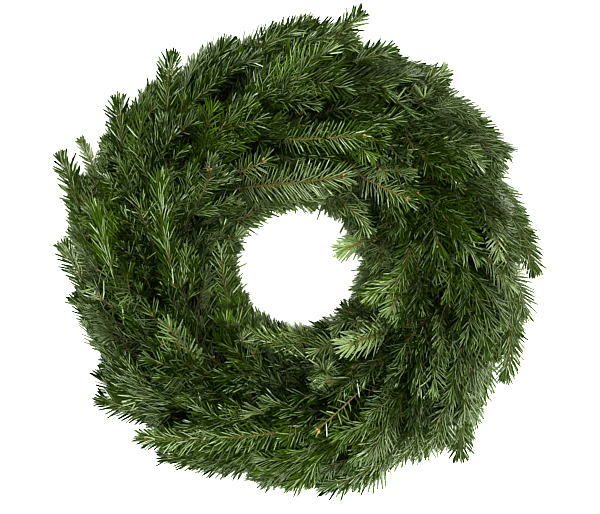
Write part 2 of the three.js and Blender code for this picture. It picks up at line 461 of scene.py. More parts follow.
@dataclass(frozen=True)
class Cells:
    """A block of the bake map cut into equal cells, one for each shape.

    Attributes:
        low: the block's lower corner.
        high: its upper corner.
        count: how many cells are wanted.
        tall: how much taller than wide a cell is.
        margin: share of a cell left free at each edge.
    """

    low: tuple[float, float]
    high: tuple[float, float]
    count: int
    tall: float = 1.0
    margin: float = 0.06

    def lay(self, first: int, shapes: int, drawn: np.ndarray) -> np.ndarray:
        """Coordinates of shapes laid in cells from number first on.

        Args:
            first: the first shape's cell.
            shapes: how many shapes there are.
            drawn: their corners within a cell, from 0 to 1, shape (f, size, 2).

        Returns:
            Bake coordinates, shape (shapes, f, size, 2).
        """
        wide, high = self.high[0] - self.low[0], self.high[1] - self.low[1]
        columns = max(1, math.ceil(math.sqrt(self.count * self.tall * wide / high)))
        rows = math.ceil(self.count / columns)
        number = first + np.arange(shapes)
        cell = np.stack([number % columns, number // columns], axis=-1).astype(float)
        inside = self.margin + (1 - 2 * self.margin) * np.clip(drawn, 0.0, 1.0)
        share = (cell[:, None, None, :] + inside[None]) / np.array([columns, rows])
        return np.array(self.low) + share * np.array([wide, high])


# ---- shader maths


def operator(operation: str, swapped: bool = False) -> Callable[..., "Socket"]:
    """A method that puts a Math node on a socket and another value, swapped if asked."""

    def method(self: "Socket", other: "Socket | float") -> "Socket":
        """The Math node's output."""
        return self.maths(operation, other, swapped=swapped)

    return method


class Socket:
    """One output of a node tree, with Python's operators for Math nodes."""

    def __init__(self, tree: "Tree", link: bpy.types.NodeSocket) -> None:
        """Holds the socket and the tree it is in."""
        self.tree = tree
        self.link = link

    def maths(self, operation: str, *others: "Socket | float", swapped: bool = False) -> "Socket":
        """A Math node of this value and the others, the first two swapped if asked."""
        values = [self, *others]
        if swapped:
            values[0], values[1] = values[1], values[0]
        sockets = dict(enumerate(values))
        return self.tree.add("ShaderNodeMath", {"operation": operation}, sockets)

    __add__ = __radd__ = operator("ADD")
    __mul__ = __rmul__ = operator("MULTIPLY")
    __sub__, __rsub__ = operator("SUBTRACT"), operator("SUBTRACT", swapped=True)
    __gt__ = operator("GREATER_THAN")

    def __abs__(self) -> "Socket":
        """Size without sign."""
        return self.maths("ABSOLUTE")

    def smooth(self, low: float, high: float, start: float = 0.0, end: float = 1.0) -> "Socket":
        """A smooth step from start below low to end above high."""
        settings = {"interpolation_type": "SMOOTHSTEP"}
        sockets = dict(enumerate((self, low, high, start, end)))
        return self.tree.add("ShaderNodeMapRange", settings, sockets)


@dataclass
class Tree:
    """The node tree of one material while it is built."""

    material: bpy.types.Material

    @classmethod
    def named(cls, name: str) -> "Tree":
        """A new material's empty tree."""
        material = bpy.data.materials.new(name)
        material.use_nodes = True
        material.node_tree.nodes.clear()
        return cls(material)

    def add(
        self,
        kind: str,
        settings: dict[str, object],
        sockets: dict[int | str, object],
        output: int | str | None = 0,
    ) -> "Socket | None":
        """Adds a node.

        Args:
            kind: the node's type.
            settings: its settings, set first.
            sockets: values or Socket links by input number or name.
            output: the output wanted, or None for a node without one.

        Returns:
            That output.
        """
        node = self.material.node_tree.nodes.new(kind)
        for key, value in settings.items():
            setattr(node, key, value)
        for key, value in sockets.items():
            if isinstance(value, Socket):
                self.material.node_tree.links.new(value.link, node.inputs[key])
            else:
                node.inputs[key].default_value = value
        return None if output is None else Socket(self, node.outputs[output])

    def split(self, vector: Socket) -> tuple[Socket, Socket, Socket]:
        """The three numbers of a vector."""
        first = self.add("ShaderNodeSeparateXYZ", {}, {0: vector})
        return tuple(Socket(self, output) for output in first.link.node.outputs)

    def mix(self, share: Socket, below: "Socket | Triple", above: "Socket | Triple") -> Socket:
        """A colour mixed from two, by share."""
        sockets = {0: share}
        for key, colour in ((6, below), (7, above)):
            sockets[key] = colour if isinstance(colour, Socket) else (*colour, 1.0)
        return self.add("ShaderNodeMix", {"data_type": "RGBA"}, sockets, 2)

    def pattern(self) -> tuple[Socket, Socket]:
        """The two numbers of the pattern map."""
        u, v, _ = self.split(self.add("ShaderNodeUVMap", {"uv_map": PATTERN_MAP}, {}))
        return u, v

    def tint(self) -> tuple[Socket, Socket, Socket]:
        """The three tint numbers that each shape carries."""
        settings = {"attribute_type": "GEOMETRY", "attribute_name": TINT}
        return self.split(self.add("ShaderNodeAttribute", settings, {}, "Vector"))

    def noise(self, scale: float, detail: float = 2.0) -> Socket:
        """Noise on object coordinates, from 0 to 1."""
        where = self.add("ShaderNodeTexCoord", {}, {}, "Object")
        sockets = {"Vector": where, "Scale": scale, "Detail": detail}
        return self.add("ShaderNodeTexNoise", {}, sockets)

    def bump(self, height: Socket, strength: float, distance: float) -> Socket:
        """A normal tilted by a height."""
        sockets = {"Strength": strength, "Distance": distance, "Height": height}
        return self.add("ShaderNodeBump", {}, sockets)

    def finish(self, sockets: dict[str, object]) -> bpy.types.Material:
        """Ends the tree in a Principled shader with these sockets."""
        shader = self.add("ShaderNodeBsdfPrincipled", {}, sockets)
        self.add("ShaderNodeOutputMaterial", {}, {"Surface": shader}, None)
        return self.material


# ---- finishes


@dataclass(frozen=True)
class NeedleFinish:
    """Fir needles: glossy and dark above with a fine groove, two pale bands below, and a painted
    highlight and painted shade on the upper face.
    """

    # Near black: the colour at no lightness and at the upper face's edges, where it is painted
    # shade.
    dark: Triple = (0.002, 0.006, 0.0003)
    green: Triple = (0.045, 0.098, 0.0004)
    fresh: Triple = (0.104, 0.180, 0.004)
    grey: Triple = (0.118, 0.156, 0.058)
    # Colour of the painted highlight along the middle of the upper face.
    shine: Triple = (0.268, 0.290, 0.222)
    under: Triple = (0.040, 0.076, 0.014)
    band: Triple = (0.27, 0.31, 0.18)
    stalk: Triple = (0.14, 0.14, 0.03)

    def material(self) -> bpy.types.Material:
        """Builds the material.

        The pattern map's first number runs 0 to 1 over the upper face and 1 to 2 over the
        lower one; the second runs from stalk to tip. Tint holds freshness, lightness and
        greyness of the needle, and its lightness holds painted light and shade as well as the
        needle's own tone.
        """
        tree = Tree.named("fir_needle")
        u, v = tree.pattern()
        fresh, light, grey = tree.tint()
        below = u > 1.0
        across = abs(u - below - 0.5)
        # Lightness mixes dark to green: it holds each needle's own tone and the painted light and
        # shade carried by its tint.
        top = tree.mix(light, self.dark, self.green)
        top = tree.mix(fresh, top, self.fresh)
        top = tree.mix(grey, top, self.grey)
        # Painted shade: the upper face darkens towards its edges, as in the gaps between needles.
        top = tree.mix(across.smooth(0.20, 0.46, 0.0, 0.75), top, self.dark)
        # Painted highlight: a pale line along the middle of the upper face of the lighter needles.
        pale = across.smooth(0.05, 0.22, 1.0, 0.0) * light.smooth(0.32, 0.92, 0.0, 1.0)
        top = tree.mix(pale, top, self.shine)
        bands = across.smooth(0.06, 0.12) * across.smooth(0.30, 0.38, 1.0, 0.0)
        underside = tree.mix(bands * (0.55 + 0.45 * light), self.under, self.band)
        colour = tree.mix(below, top, underside)
        colour = tree.mix(v.smooth(0.02, 0.20, 0.75, 0.0), colour, self.stalk)
        colour = tree.mix(v.smooth(0.93, 1.0, 0.0, 0.35), colour, self.fresh)
        return tree.finish(
            {
                "Base Color": colour,
                "Roughness": 0.42 + below * 0.2 + 0.15 * tree.noise(900.0),
                "Specular IOR Level": 0.04,
                "Coat Weight": light.smooth(0.34, 0.80) * (1.0 - below * 0.55),
                "Coat Roughness": 0.29,
                "Coat IOR": 1.42,
            }
        )


@dataclass(frozen=True)
class BarkFinish:
    """Young fir bark: olive to orange-brown, with the cushions that needles stand on."""

    olive: Triple = (0.150, 0.140, 0.030)
    orange: Triple = (0.200, 0.140, 0.042)
    grey: Triple = (0.070, 0.060, 0.032)
    gap: Triple = (0.034, 0.040, 0.010)

    def material(self) -> bpy.types.Material:
        """Builds the material; the twig's last two tints are its orange and its greyness."""
        tree = Tree.named("fir_bark")
        _, orange, grey = tree.tint()
        u, v = tree.pattern()
        streak = tree.noise(260.0, 3.0)
        cushions = ((u * 2.0 + v * 220.0) * math.tau).maths("SINE")
        colour = tree.mix(orange, self.olive, self.orange)
        colour = tree.mix(grey, colour, self.grey)
        colour = tree.mix(cushions.smooth(-0.2, 0.8, 0.0, 0.80), colour, self.gap)
        colour = tree.mix(streak.smooth(0.35, 0.7, 0.45, 0.0), colour, self.grey)
        bump = tree.bump(streak, 0.5, 0.4 * MM)
        return tree.finish({"Base Color": colour, "Roughness": 0.72, "Normal": bump})


@dataclass(frozen=True)
class BudFinish:
    """Resting buds: orange-brown scales under a thin resin."""

    brown: Triple = (0.150, 0.090, 0.030)
    pale: Triple = (0.36, 0.265, 0.145)

    def material(self) -> bpy.types.Material:
        """Builds the material; the pattern's second number runs from base to point."""
        tree = Tree.named("fir_bud")
        _, v = tree.pattern()
        light, _, _ = tree.tint()
        scales = (v * 3.0).maths("FRACT")
        colour = tree.mix(scales.smooth(0.55, 0.95, 0.1, 0.75), self.brown, self.pale)
        colour = tree.mix(light * 0.6, colour, self.pale)
        bump = tree.bump(scales, 0.6, 0.5 * MM)
        return tree.finish({"Base Color": colour, "Roughness": 0.42, "Normal": bump})


@dataclass(frozen=True)
class StrawFinish:
    """Dry straw: pale gold stalks, each its own shade, with fine lengthwise lines."""

    gold: Triple = (0.52, 0.39, 0.185)
    brown: Triple = (0.25, 0.165, 0.070)

    def material(self) -> bpy.types.Material:
        """Builds the material; the pattern map's first number runs across the stalks."""
        tree = Tree.named("dry_straw")
        u, v = tree.pattern()
        light, _, _ = tree.tint()
        patch = tree.noise(70.0, 4.0)
        along = tree.add("ShaderNodeCombineXYZ", {}, {0: u * 420.0, 1: v * 18.0})
        sockets = {"Vector": along, "Scale": 1.0, "Detail": 3.0}
        lines = tree.add("ShaderNodeTexNoise", {"noise_dimensions": "2D"}, sockets)
        shade = lines.smooth(0.3, 0.72) * 0.6 + patch * 0.3 + light * 0.35
        colour = tree.mix(shade.smooth(0.1, 0.95), self.brown, self.gold)
        bump = tree.bump(lines, 0.7, 0.6 * MM)
        return tree.finish({"Base Color": colour, "Roughness": 0.62, "Normal": bump})


@dataclass(frozen=True)
class TwineFinish:
    """The thin twine that holds the straw together."""

    colour: Triple = (0.34, 0.27, 0.16)

    def material(self) -> bpy.types.Material:
        """Builds the material, twisted by a wave along the pattern map."""
        tree = Tree.named("straw_twine")
        u, v = tree.pattern()
        twist = ((u + v * 600.0) * math.tau).maths("SINE")
        shade = tuple(0.45 * part for part in self.colour)
        colour = tree.mix(twist.smooth(-1.0, 1.0), shade, self.colour)
        return tree.finish({"Base Color": colour, "Roughness": 0.85})


@dataclass(frozen=True)
class WireFinish:
    """Florists' wire: dark green lacquer with dull scuffs."""

    lacquer: Triple = (0.018, 0.060, 0.022)
    scuffed: Triple = (0.10, 0.12, 0.09)

    def material(self) -> bpy.types.Material:
        """Builds the material."""
        tree = Tree.named("green_wire")
        scuffs = tree.noise(480.0, 4.0).smooth(0.58, 0.72)
        colour = tree.mix(scuffs, self.lacquer, self.scuffed)
        return tree.finish({"Base Color": colour, "Roughness": 0.32 + scuffs * 0.3})


@dataclass(frozen=True)
class FloorFinish:
    """The pale studio floor."""

    colour: Triple = (0.88, 0.88, 0.88)

    def material(self) -> bpy.types.Material:
        """Builds the material, with a breath of unevenness."""
        tree = Tree.named("pale_floor")
        shade = tree.noise(2.0).smooth(0.3, 0.7)
        colour = tree.mix(shade, tuple(0.99 * part for part in self.colour), self.colour)
        return tree.finish({"Base Color": colour, "Roughness": 0.9})


# ---- needles, twigs and buds


@dataclass
class Needles:
    """Many needles as arrays, one row each.

    Attributes:
        base: where each leaves its twig.
        aim: the direction it grows in.
        face: the way its glossy upper side looks.
        curl: the direction its tip bends to.
        length: from base to tip.
        width: at its widest.
        bend: how far the tip bends, as a share of the length.
        tint: freshness, lightness and greyness.
    """

    base: np.ndarray
    aim: np.ndarray
    face: np.ndarray
    curl: np.ndarray
    length: np.ndarray
    width: np.ndarray
    bend: np.ndarray
    tint: np.ndarray

    @classmethod
    def joined(cls, parts: list["Needles"]) -> "Needles":
        """All needles of several lots as one."""
        names = cls.__dataclass_fields__
        return cls(*(np.concatenate([getattr(part, name) for part in parts]) for name in names))

    def tips(self) -> np.ndarray:
        """Where they would end if none of them bent."""
        return self.base + self.aim * self.length[:, None]


@dataclass(frozen=True)
class NeedleShape:
    """The form of one needle: a flat blade with a four-sided section and a blunt tip.

    Attributes:
        stations: places along the blade of its cross-sections.
        widths: the blade's width at each, as a share of its greatest.
        depths: its thickness at each, in metres.
        above: share of the thickness above the blade's edges.
        below: share of it below them.
    """

    stations: tuple[float, ...] = (0.0, 0.36, 0.87)
    widths: tuple[float, ...] = (0.48, 1.0, 0.70)
    depths: tuple[float, ...] = (0.5 * MM, 0.55 * MM, 0.4 * MM)
    above: float = 0.32
    below: float = 0.68

    def layout(self) -> tuple[list[np.ndarray], list[np.ndarray]]:
        """Corner numbers and pattern coordinates of a needle's faces.

        Corners go left, upper, right, lower round each section, so u runs 0, 0.5, 1, 1.5
        and back to 2 at the left edge, and v is the station.

        Returns:
            Faces by size (quads, triangles), and their pattern coordinates.
        """
        rings, v = len(self.stations), np.array(self.stations)
        quads, at = wall(rings, 4)
        drawn = np.stack([at[..., 1] / 2, v[at[..., 0]]], axis=-1)
        foot = np.array([[3, 2, 1, 0]])
        foot_drawn = np.stack([foot / 2, foot * 0.0], axis=-1)
        tip, tip_drawn = cone(rings * 4 - 4, 4, rings * 4, (v[-1], v[-1], 1.0), 2)
        quads, drawn = np.concatenate([quads, foot]), np.concatenate([drawn, foot_drawn])
        return [quads, tip], [drawn, tip_drawn]

    def places(self, needles: Needles) -> np.ndarray:
        """Vertex places of many needles, shape (needles, 13, 3).

        The middle line is base + aim * length * s + curl * length * bend * s^2, and the
        section's corners lie half a width left and right and part of a thickness up and down.
        """
        side = np.cross(needles.aim, needles.face)
        s = np.array([*self.stations, 1.0])
        line = (
            needles.base[:, None]
            + needles.aim[:, None] * (needles.length[:, None] * s)[..., None]
            + needles.curl[:, None] * ((needles.length * needles.bend)[:, None] * s**2)[..., None]
        )
        half = needles.width[:, None] * np.array(self.widths) / 2
        deep = np.broadcast_to(np.array(self.depths), half.shape)
        middle, tip = line[:, :-1], line[:, -1:]
        rings = [
            middle - side[:, None] * half[..., None],
            middle + needles.face[:, None] * (self.above * deep)[..., None],
            middle + side[:, None] * half[..., None],
            middle - needles.face[:, None] * (self.below * deep)[..., None],
        ]
        return np.concatenate([np.stack(rings, axis=2).reshape(len(tip), -1, 3), tip], axis=1)

    def into(self, skin: Skin, needles: Needles, cells: Cells, slot: int) -> None:
        """Adds the needles to a skin, each in a cell of the bake map."""
        faces, drawn = self.layout()
        scale = np.array([0.5, 1.0])
        laid = [cells.lay(0, len(needles.length), part * scale) for part in drawn]
        skin.add(self.places(needles), needles.tint, faces, drawn, laid, slot, rounded=False)


@dataclass(frozen=True)
class Brush:
    """How needles stand round a twig; angles in degrees, lengths as shares of the longest.

    Attributes:
        parting: from the top to the first needles on an uncombed twig.
        combed_parting: how much further off a full comb sets them.
        sweep: from there to the last needles on an uncombed twig.
        combed_sweep: how much less that is with a full comb.
        closing: how far the angle to the twig closes at its tip.
        leaning: how much closer to the twig the top needles stand.
        unruly: chance in the angle round the twig and in the one to it.
        top: length of the top needles.
        tip_loss: how much shorter needles are at the tip.
        root: length of the first needles at the root.
        lit: how much lighter the top needles are than the middle ones.
        whorl: how many needles fan round the buds.
        whorl_angle: their angle to the twig, and the chance in it.
        whorl_length: their length.
        chance: chance in freshness, lightness and greyness from needle to needle.
        bend: least and greatest bend.
    """

    parting: float = 3.0
    combed_parting: float = 33.0
    sweep: float = 98.0
    combed_sweep: float = 30.0
    closing: float = 24.0
    leaning: float = 20.0
    unruly: tuple[float, float] = (5.5, 3.5)
    top: float = 0.66
    tip_loss: float = 0.22
    root: float = 0.72
    lit: float = 0.24
    whorl: int = 11
    whorl_angle: tuple[float, float] = (30.0, 9.0)
    whorl_length: float = 0.74
    chance: Triple = (0.06, 0.30, 0.05)
    bend: tuple[float, float] = (0.04, 0.26)


BRUSH = Brush()


@dataclass
class Shoot:
    """One shoot: a thin twig, its needles and the buds at its tip.

    Attributes:
        path: points of the twig from its root to its tip.
        up: the way its needles' upper sides look, at each point.
        thick: the twig's diameter at its root.
        thin: and at its tip.
        bare: share of its length without needles.
        dense: needles to the metre.
        blade: length of its longest needles.
        wide: width of its needles.
        spread: angle between twig and side needles.
        roll: how far it is turned about its own twig.
        tint: freshness, lightness and greyness of its needles.
        comb: from 0, needles all over its upper side, to 1, parted to the two sides.
        buds: how many buds it carries.
    """

    path: np.ndarray
    up: np.ndarray
    thick: float
    thin: float
    dense: float
    blade: float
    spread: float
    tint: Triple
    comb: float
    buds: int
    bare: float = 0.0
    wide: float = 2.3 * MM
    roll: float = 0.0

    def __post_init__(self) -> None:
        """Works out lengths and the frame along the twig."""
        self.far = travelled(self.path)
        self.length = float(self.far[-1])
        self.tangent = unit(np.gradient(self.path, axis=0))
        up = square_to(self.up, self.tangent)
        side = np.cross(self.tangent, up)
        self.up = up * math.cos(self.roll) + side * math.sin(self.roll)

    def frame(self, far: np.ndarray) -> tuple[np.ndarray, np.ndarray, np.ndarray, np.ndarray]:
        """Place, direction, up and side of the twig this far from its root."""
        place = read_along(self.far, far, self.path)
        tangent = unit(read_along(self.far, far, self.tangent))
        up = square_to(read_along(self.far, far, self.up), tangent)
        return place, tangent, up, np.cross(tangent, up)

    def frame_at(self, far: float) -> list[np.ndarray]:
        """Place, direction, up and side at one distance from its root."""
        return [row[0] for row in self.frame(np.array([far]))]

    def needles(self, rng: np.random.Generator) -> Needles:
        """Grows the needles along the twig and round its tip.

        Needles leave the twig in a golden-angle spiral. Each one's raw angle q round the
        twig, 0 on top and 1 below, is brushed to the sides: the true angle is a start plus
        a rise that levels off, so none hangs straight down. Their angle to the twig closes
        towards the tip, where a last whorl fans round the buds.

        Args:
            rng: the sprig's own source of chance.

        Returns:
            The shoot's needles.
        """
        start = self.bare * self.length
        count = max(6, int(self.dense * (self.length - start)))
        t = (np.arange(count) + rng.uniform(0.2, 0.8, count)) / count
        far = start + t * (self.length - start)
        raw = (np.arange(count) * GOLDEN_TURN + rng.uniform(0, math.tau)) % math.tau - math.pi
        q = np.abs(raw) / math.pi
        parted = math.radians(BRUSH.parting + BRUSH.combed_parting * self.comb)
        sweep = math.radians(BRUSH.sweep - BRUSH.combed_sweep * self.comb)
        angle = np.sign(raw) * (parted + sweep * q**0.8)
        unruly, splayed = np.radians(BRUSH.unruly)
        angle += rng.normal(0, unruly, count)
        spread = self.spread - math.radians(BRUSH.closing) * smoothstep(0.72, 1.0, t)
        spread = spread - math.radians(BRUSH.leaning) * (1 - q) ** 2
        spread = spread + rng.normal(0, splayed, count)
        blade = self.blade * (BRUSH.top + (1 - BRUSH.top) * q**0.7)
        blade = blade * (1 - BRUSH.tip_loss * smoothstep(0.8, 1.0, t))
        blade = blade * (BRUSH.root + (1 - BRUSH.root) * smoothstep(0.0, 0.14, t))
        blade = blade * rng.normal(1, 0.07, count)
        girth = np.interp(t, [0, 1], [self.thick, self.thin]) / 2
        body = self.lot(rng, far, angle, spread, blade, girth)
        # Painted light and shade: needles on top of the twig are made lighter and those below it
        # darker.
        body.tint[:, 1] = np.clip(body.tint[:, 1] + BRUSH.lit * (1 - 2 * q), 0.0, 1.0)

        whorl = BRUSH.whorl
        far = np.full(whorl, self.length - 1.0 * MM)
        angle = np.arange(whorl) * math.tau / whorl + rng.normal(0, 0.2, whorl)
        open_, chance = np.radians(BRUSH.whorl_angle)
        spread = open_ + rng.normal(0, chance, whorl)
        blade = self.blade * BRUSH.whorl_length * rng.normal(1, 0.08, whorl)
        tip = self.lot(rng, far, angle, spread, blade, np.full(whorl, self.thin / 2))
        return Needles.joined([body, tip])

    def lot(
        self,
        rng: np.random.Generator,
        far: np.ndarray,
        angle: np.ndarray,
        spread: np.ndarray,
        blade: np.ndarray,
        girth: np.ndarray,
    ) -> Needles:
        """Needles at these places, angles round the twig and angles to it.

        Args:
            rng: the sprig's own source of chance.
            far: distances from the root.
            angle: angles round the twig, from its up.
            spread: angles to the twig.
            blade: lengths.
            girth: the twig's radius at each.

        Returns:
            The needles, each a little off the rule.
        """
        place, tangent, up, side = self.frame(far)
        radial = up * np.cos(angle)[:, None] + side * np.sin(angle)[:, None]
        aim = tangent * np.cos(spread)[:, None] + radial * np.sin(spread)[:, None]
        look = square_to(up * 0.8 + radial * 0.35 + rng.normal(0, 0.13, aim.shape), aim)
        curl = square_to(up * 0.5 + tangent * 0.7 + rng.normal(0, 0.18, aim.shape), aim)
        count = len(far)
        tint = np.array(self.tint) + rng.normal(0, 1, (count, 3)) * np.array(BRUSH.chance)
        return Needles(
            base=place + radial * (girth * 0.8)[:, None],
            aim=aim,
            face=look,
            curl=curl,
            length=blade,
            width=self.wide * rng.normal(1, 0.06, count),
            bend=rng.uniform(*BRUSH.bend, count),
            tint=np.clip(tint, 0.0, 1.0),
        )


@dataclass(frozen=True)
class TubeShape:
    """A round tube along a path, closed at both ends."""

    sides: int = 6

    def into(
        self,
        skin: Skin,
        path: np.ndarray,
        up: np.ndarray,
        radius: np.ndarray,
        tint: Triple,
        cells: Cells,
        cell: int,
        slot: int,
    ) -> None:
        """Adds a tube: point k of ring j lies radius_j from path_j, at k/sides of a turn.

        Args:
            skin: where it goes.
            path: its middle line, shape (n, 3).
            up: a direction across it at each point.
            radius: its radius at each point.
            tint: its tint.
            cells: block of the bake map.
            cell: its cell there.
            slot: material slot.
        """
        tangent = unit(np.gradient(path, axis=0))
        across = square_to(up, tangent)
        spoke = spokes(across, np.cross(tangent, across), self.sides)
        places = (path[:, None] + spoke * radius[:, None, None]).reshape(1, -1, 3)
        far = travelled(path)
        quads, at = wall(len(path), self.sides)
        drawn = np.stack([at[..., 1] / self.sides, far[at[..., 0]]], axis=-1)
        first = np.arange(self.sides)
        ends = np.stack([first[::-1], (len(path) - 1) * self.sides + first])
        turn = 0.5 + 0.5 * circle(self.sides)
        caps = np.stack([turn[::-1] * 0.1, turn * 0.1])
        scale = np.array([1.0, 1.0 / max(far[-1], 1e-9)])
        laid = [cells.lay(cell, 1, drawn * scale), cells.lay(cell, 1, caps)]
        skin.add(places, np.array([tint]), [quads, ends], [drawn, caps], laid, slot)


@dataclass(frozen=True)
class BudShape:
    """A resting bud: an egg with a blunt base and a point.

    Attributes:
        sides: faces round it.
        rings: places of its rings along it.
        radii: its radius at each, as a share of its greatest.
        stout: its greatest radius, as a share of its length.
    """

    sides: int = 7
    rings: tuple[float, ...] = (0.06, 0.38, 0.74)
    radii: tuple[float, ...] = (0.55, 1.0, 0.68)
    stout: float = 0.32

    def layout(self) -> tuple[list[np.ndarray], list[np.ndarray]]:
        """Faces of a bud by size (quads, triangles), and their pattern coordinates.

        The first coordinate runs round it, the second from base to point.
        """
        n, v = self.sides, np.array(self.rings)
        foot, point = len(v) * n, len(v) * n + 1
        quads, at = wall(len(v), n)
        drawn = np.stack([at[..., 1] / n, v[at[..., 0]]], axis=-1)
        low, low_drawn = cone(0, n, foot, (v[0], v[0], 0.0), n)
        high, high_drawn = cone(foot - n, n, point, (v[-1], v[-1], 1.0), n)
        outward = [1, 0, 2]
        ends = np.concatenate([low[:, outward], high])
        return [quads, ends], [drawn, np.concatenate([low_drawn[:, outward], high_drawn])]

    def into(
        self,
        skin: Skin,
        base: np.ndarray,
        aim: np.ndarray,
        length: np.ndarray,
        light: np.ndarray,
        cells: Cells,
        slot: int,
    ) -> None:
        """Adds buds: ring j lies rings_j along the bud and radii_j times its radius out.

        Args:
            skin: where they go.
            base: their feet, shape (n, 3).
            aim: their directions.
            length: their lengths.
            light: how pale each is.
            cells: block of the bake map.
            slot: material slot.
        """
        helper = np.where(np.abs(aim[:, 2:3]) < 0.8, [[0.0, 0.0, 1.0]], [[1.0, 0.0, 0.0]])
        across = square_to(helper, aim)
        spoke = spokes(across, np.cross(aim, across), self.sides)
        middle = base[:, None] + aim[:, None] * (length[:, None] * np.array(self.rings))[..., None]
        out = (length * self.stout)[:, None] * np.array(self.radii)
        body = middle[:, :, None] + spoke[:, None] * out[:, :, None, None]
        count = len(base)
        point = base + aim * length[:, None]
        places = [body.reshape(count, -1, 3), base[:, None], point[:, None]]
        faces, drawn = self.layout()
        laid = [cells.lay(0, count, part) for part in drawn]
        tints = np.stack([light] * 3, axis=-1)
        skin.add(np.concatenate(places, axis=1), tints, faces, drawn, laid, slot)


# ---- sprigs


class Place(Enum):
    """Where round the ring's section a sprig lies."""

    OUTER = "outer"
    SHOULDER = "shoulder"
    CROWN = "crown"
    INNER = "inner"


@dataclass(frozen=True)
class Habit:
    """How a sprig of one place grows.

    Attributes:
        forks: how many side shoots leave it, right and left by turns.
        first: where the first leaves, as a share of the sprig.
        last: where the last leaves.
        reach: length of the longest side shoot.
        flat: how far its sprays turn from the ring's outside to face straight up.
        covered: share of the sprig that the next row covers, where needles are sparse.
        forking: length from which a side shoot has a small one of its own.
    """

    forks: int
    first: float
    last: float
    reach: float
    flat: float
    covered: float = 0.34
    forking: float = 56 * MM


HABITS = {
    Place.OUTER: Habit(13, 0.16, 0.88, 92 * MM, 0.75),
    Place.SHOULDER: Habit(12, 0.18, 0.88, 84 * MM, 0.30),
    Place.CROWN: Habit(11, 0.16, 0.86, 76 * MM, 0.10),
    Place.INNER: Habit(11, 0.16, 0.86, 62 * MM, 0.62),
}


@dataclass(frozen=True)
class Leader:
    """A long side shoot that lies on top of the others, its way given.

    What isn't listed is as in Shoot, with angles in degrees and lengths in millimetres.

    Attributes:
        leaves: where it leaves the main twig, as a share of the sprig.
        way: points it passes, in millimetres.
    """

    leaves: float
    way: tuple[Triple, ...]
    tint: Triple
    dense: float = 1100.0
    comb: float = 1.0
    roll: float = 0.0
    spread: float = 70.0
    blade: float = 21.0
    buds: int = 4

    def path(self, spine: Spine, count: int = 16) -> np.ndarray:
        """Evenly spaced points from the main twig along the way, corners rounded."""
        root = read_along(spine.far, np.array([self.leaves * spine.length]), spine.points)
        corners = np.concatenate([root, np.array(self.way) * MM])
        far = travelled(corners)
        even = read_along(far, np.linspace(0, far[-1], count), corners)
        return np.stack([settle(column, 4) for column in even.T], axis=-1)

    def crest(self, spine: Spine) -> np.ndarray:
        """Close points along its last two thirds, which nothing else may cover."""
        close = 60
        return self.path(spine, close)[close // 3:]


SHORTENED = {"sprig_08_outer": 18 * MM}

BREAKOUT = {"comb": 0.5, "spread": 54.0, "buds": 1}
RIM = {"dense": 950.0, "comb": 0.7, "spread": 58.0, "blade": 22.0, "buds": 0}
PLUME = {"dense": 1000.0, "comb": 0.3, "spread": 42.0, "blade": 27.0, "buds": 0}

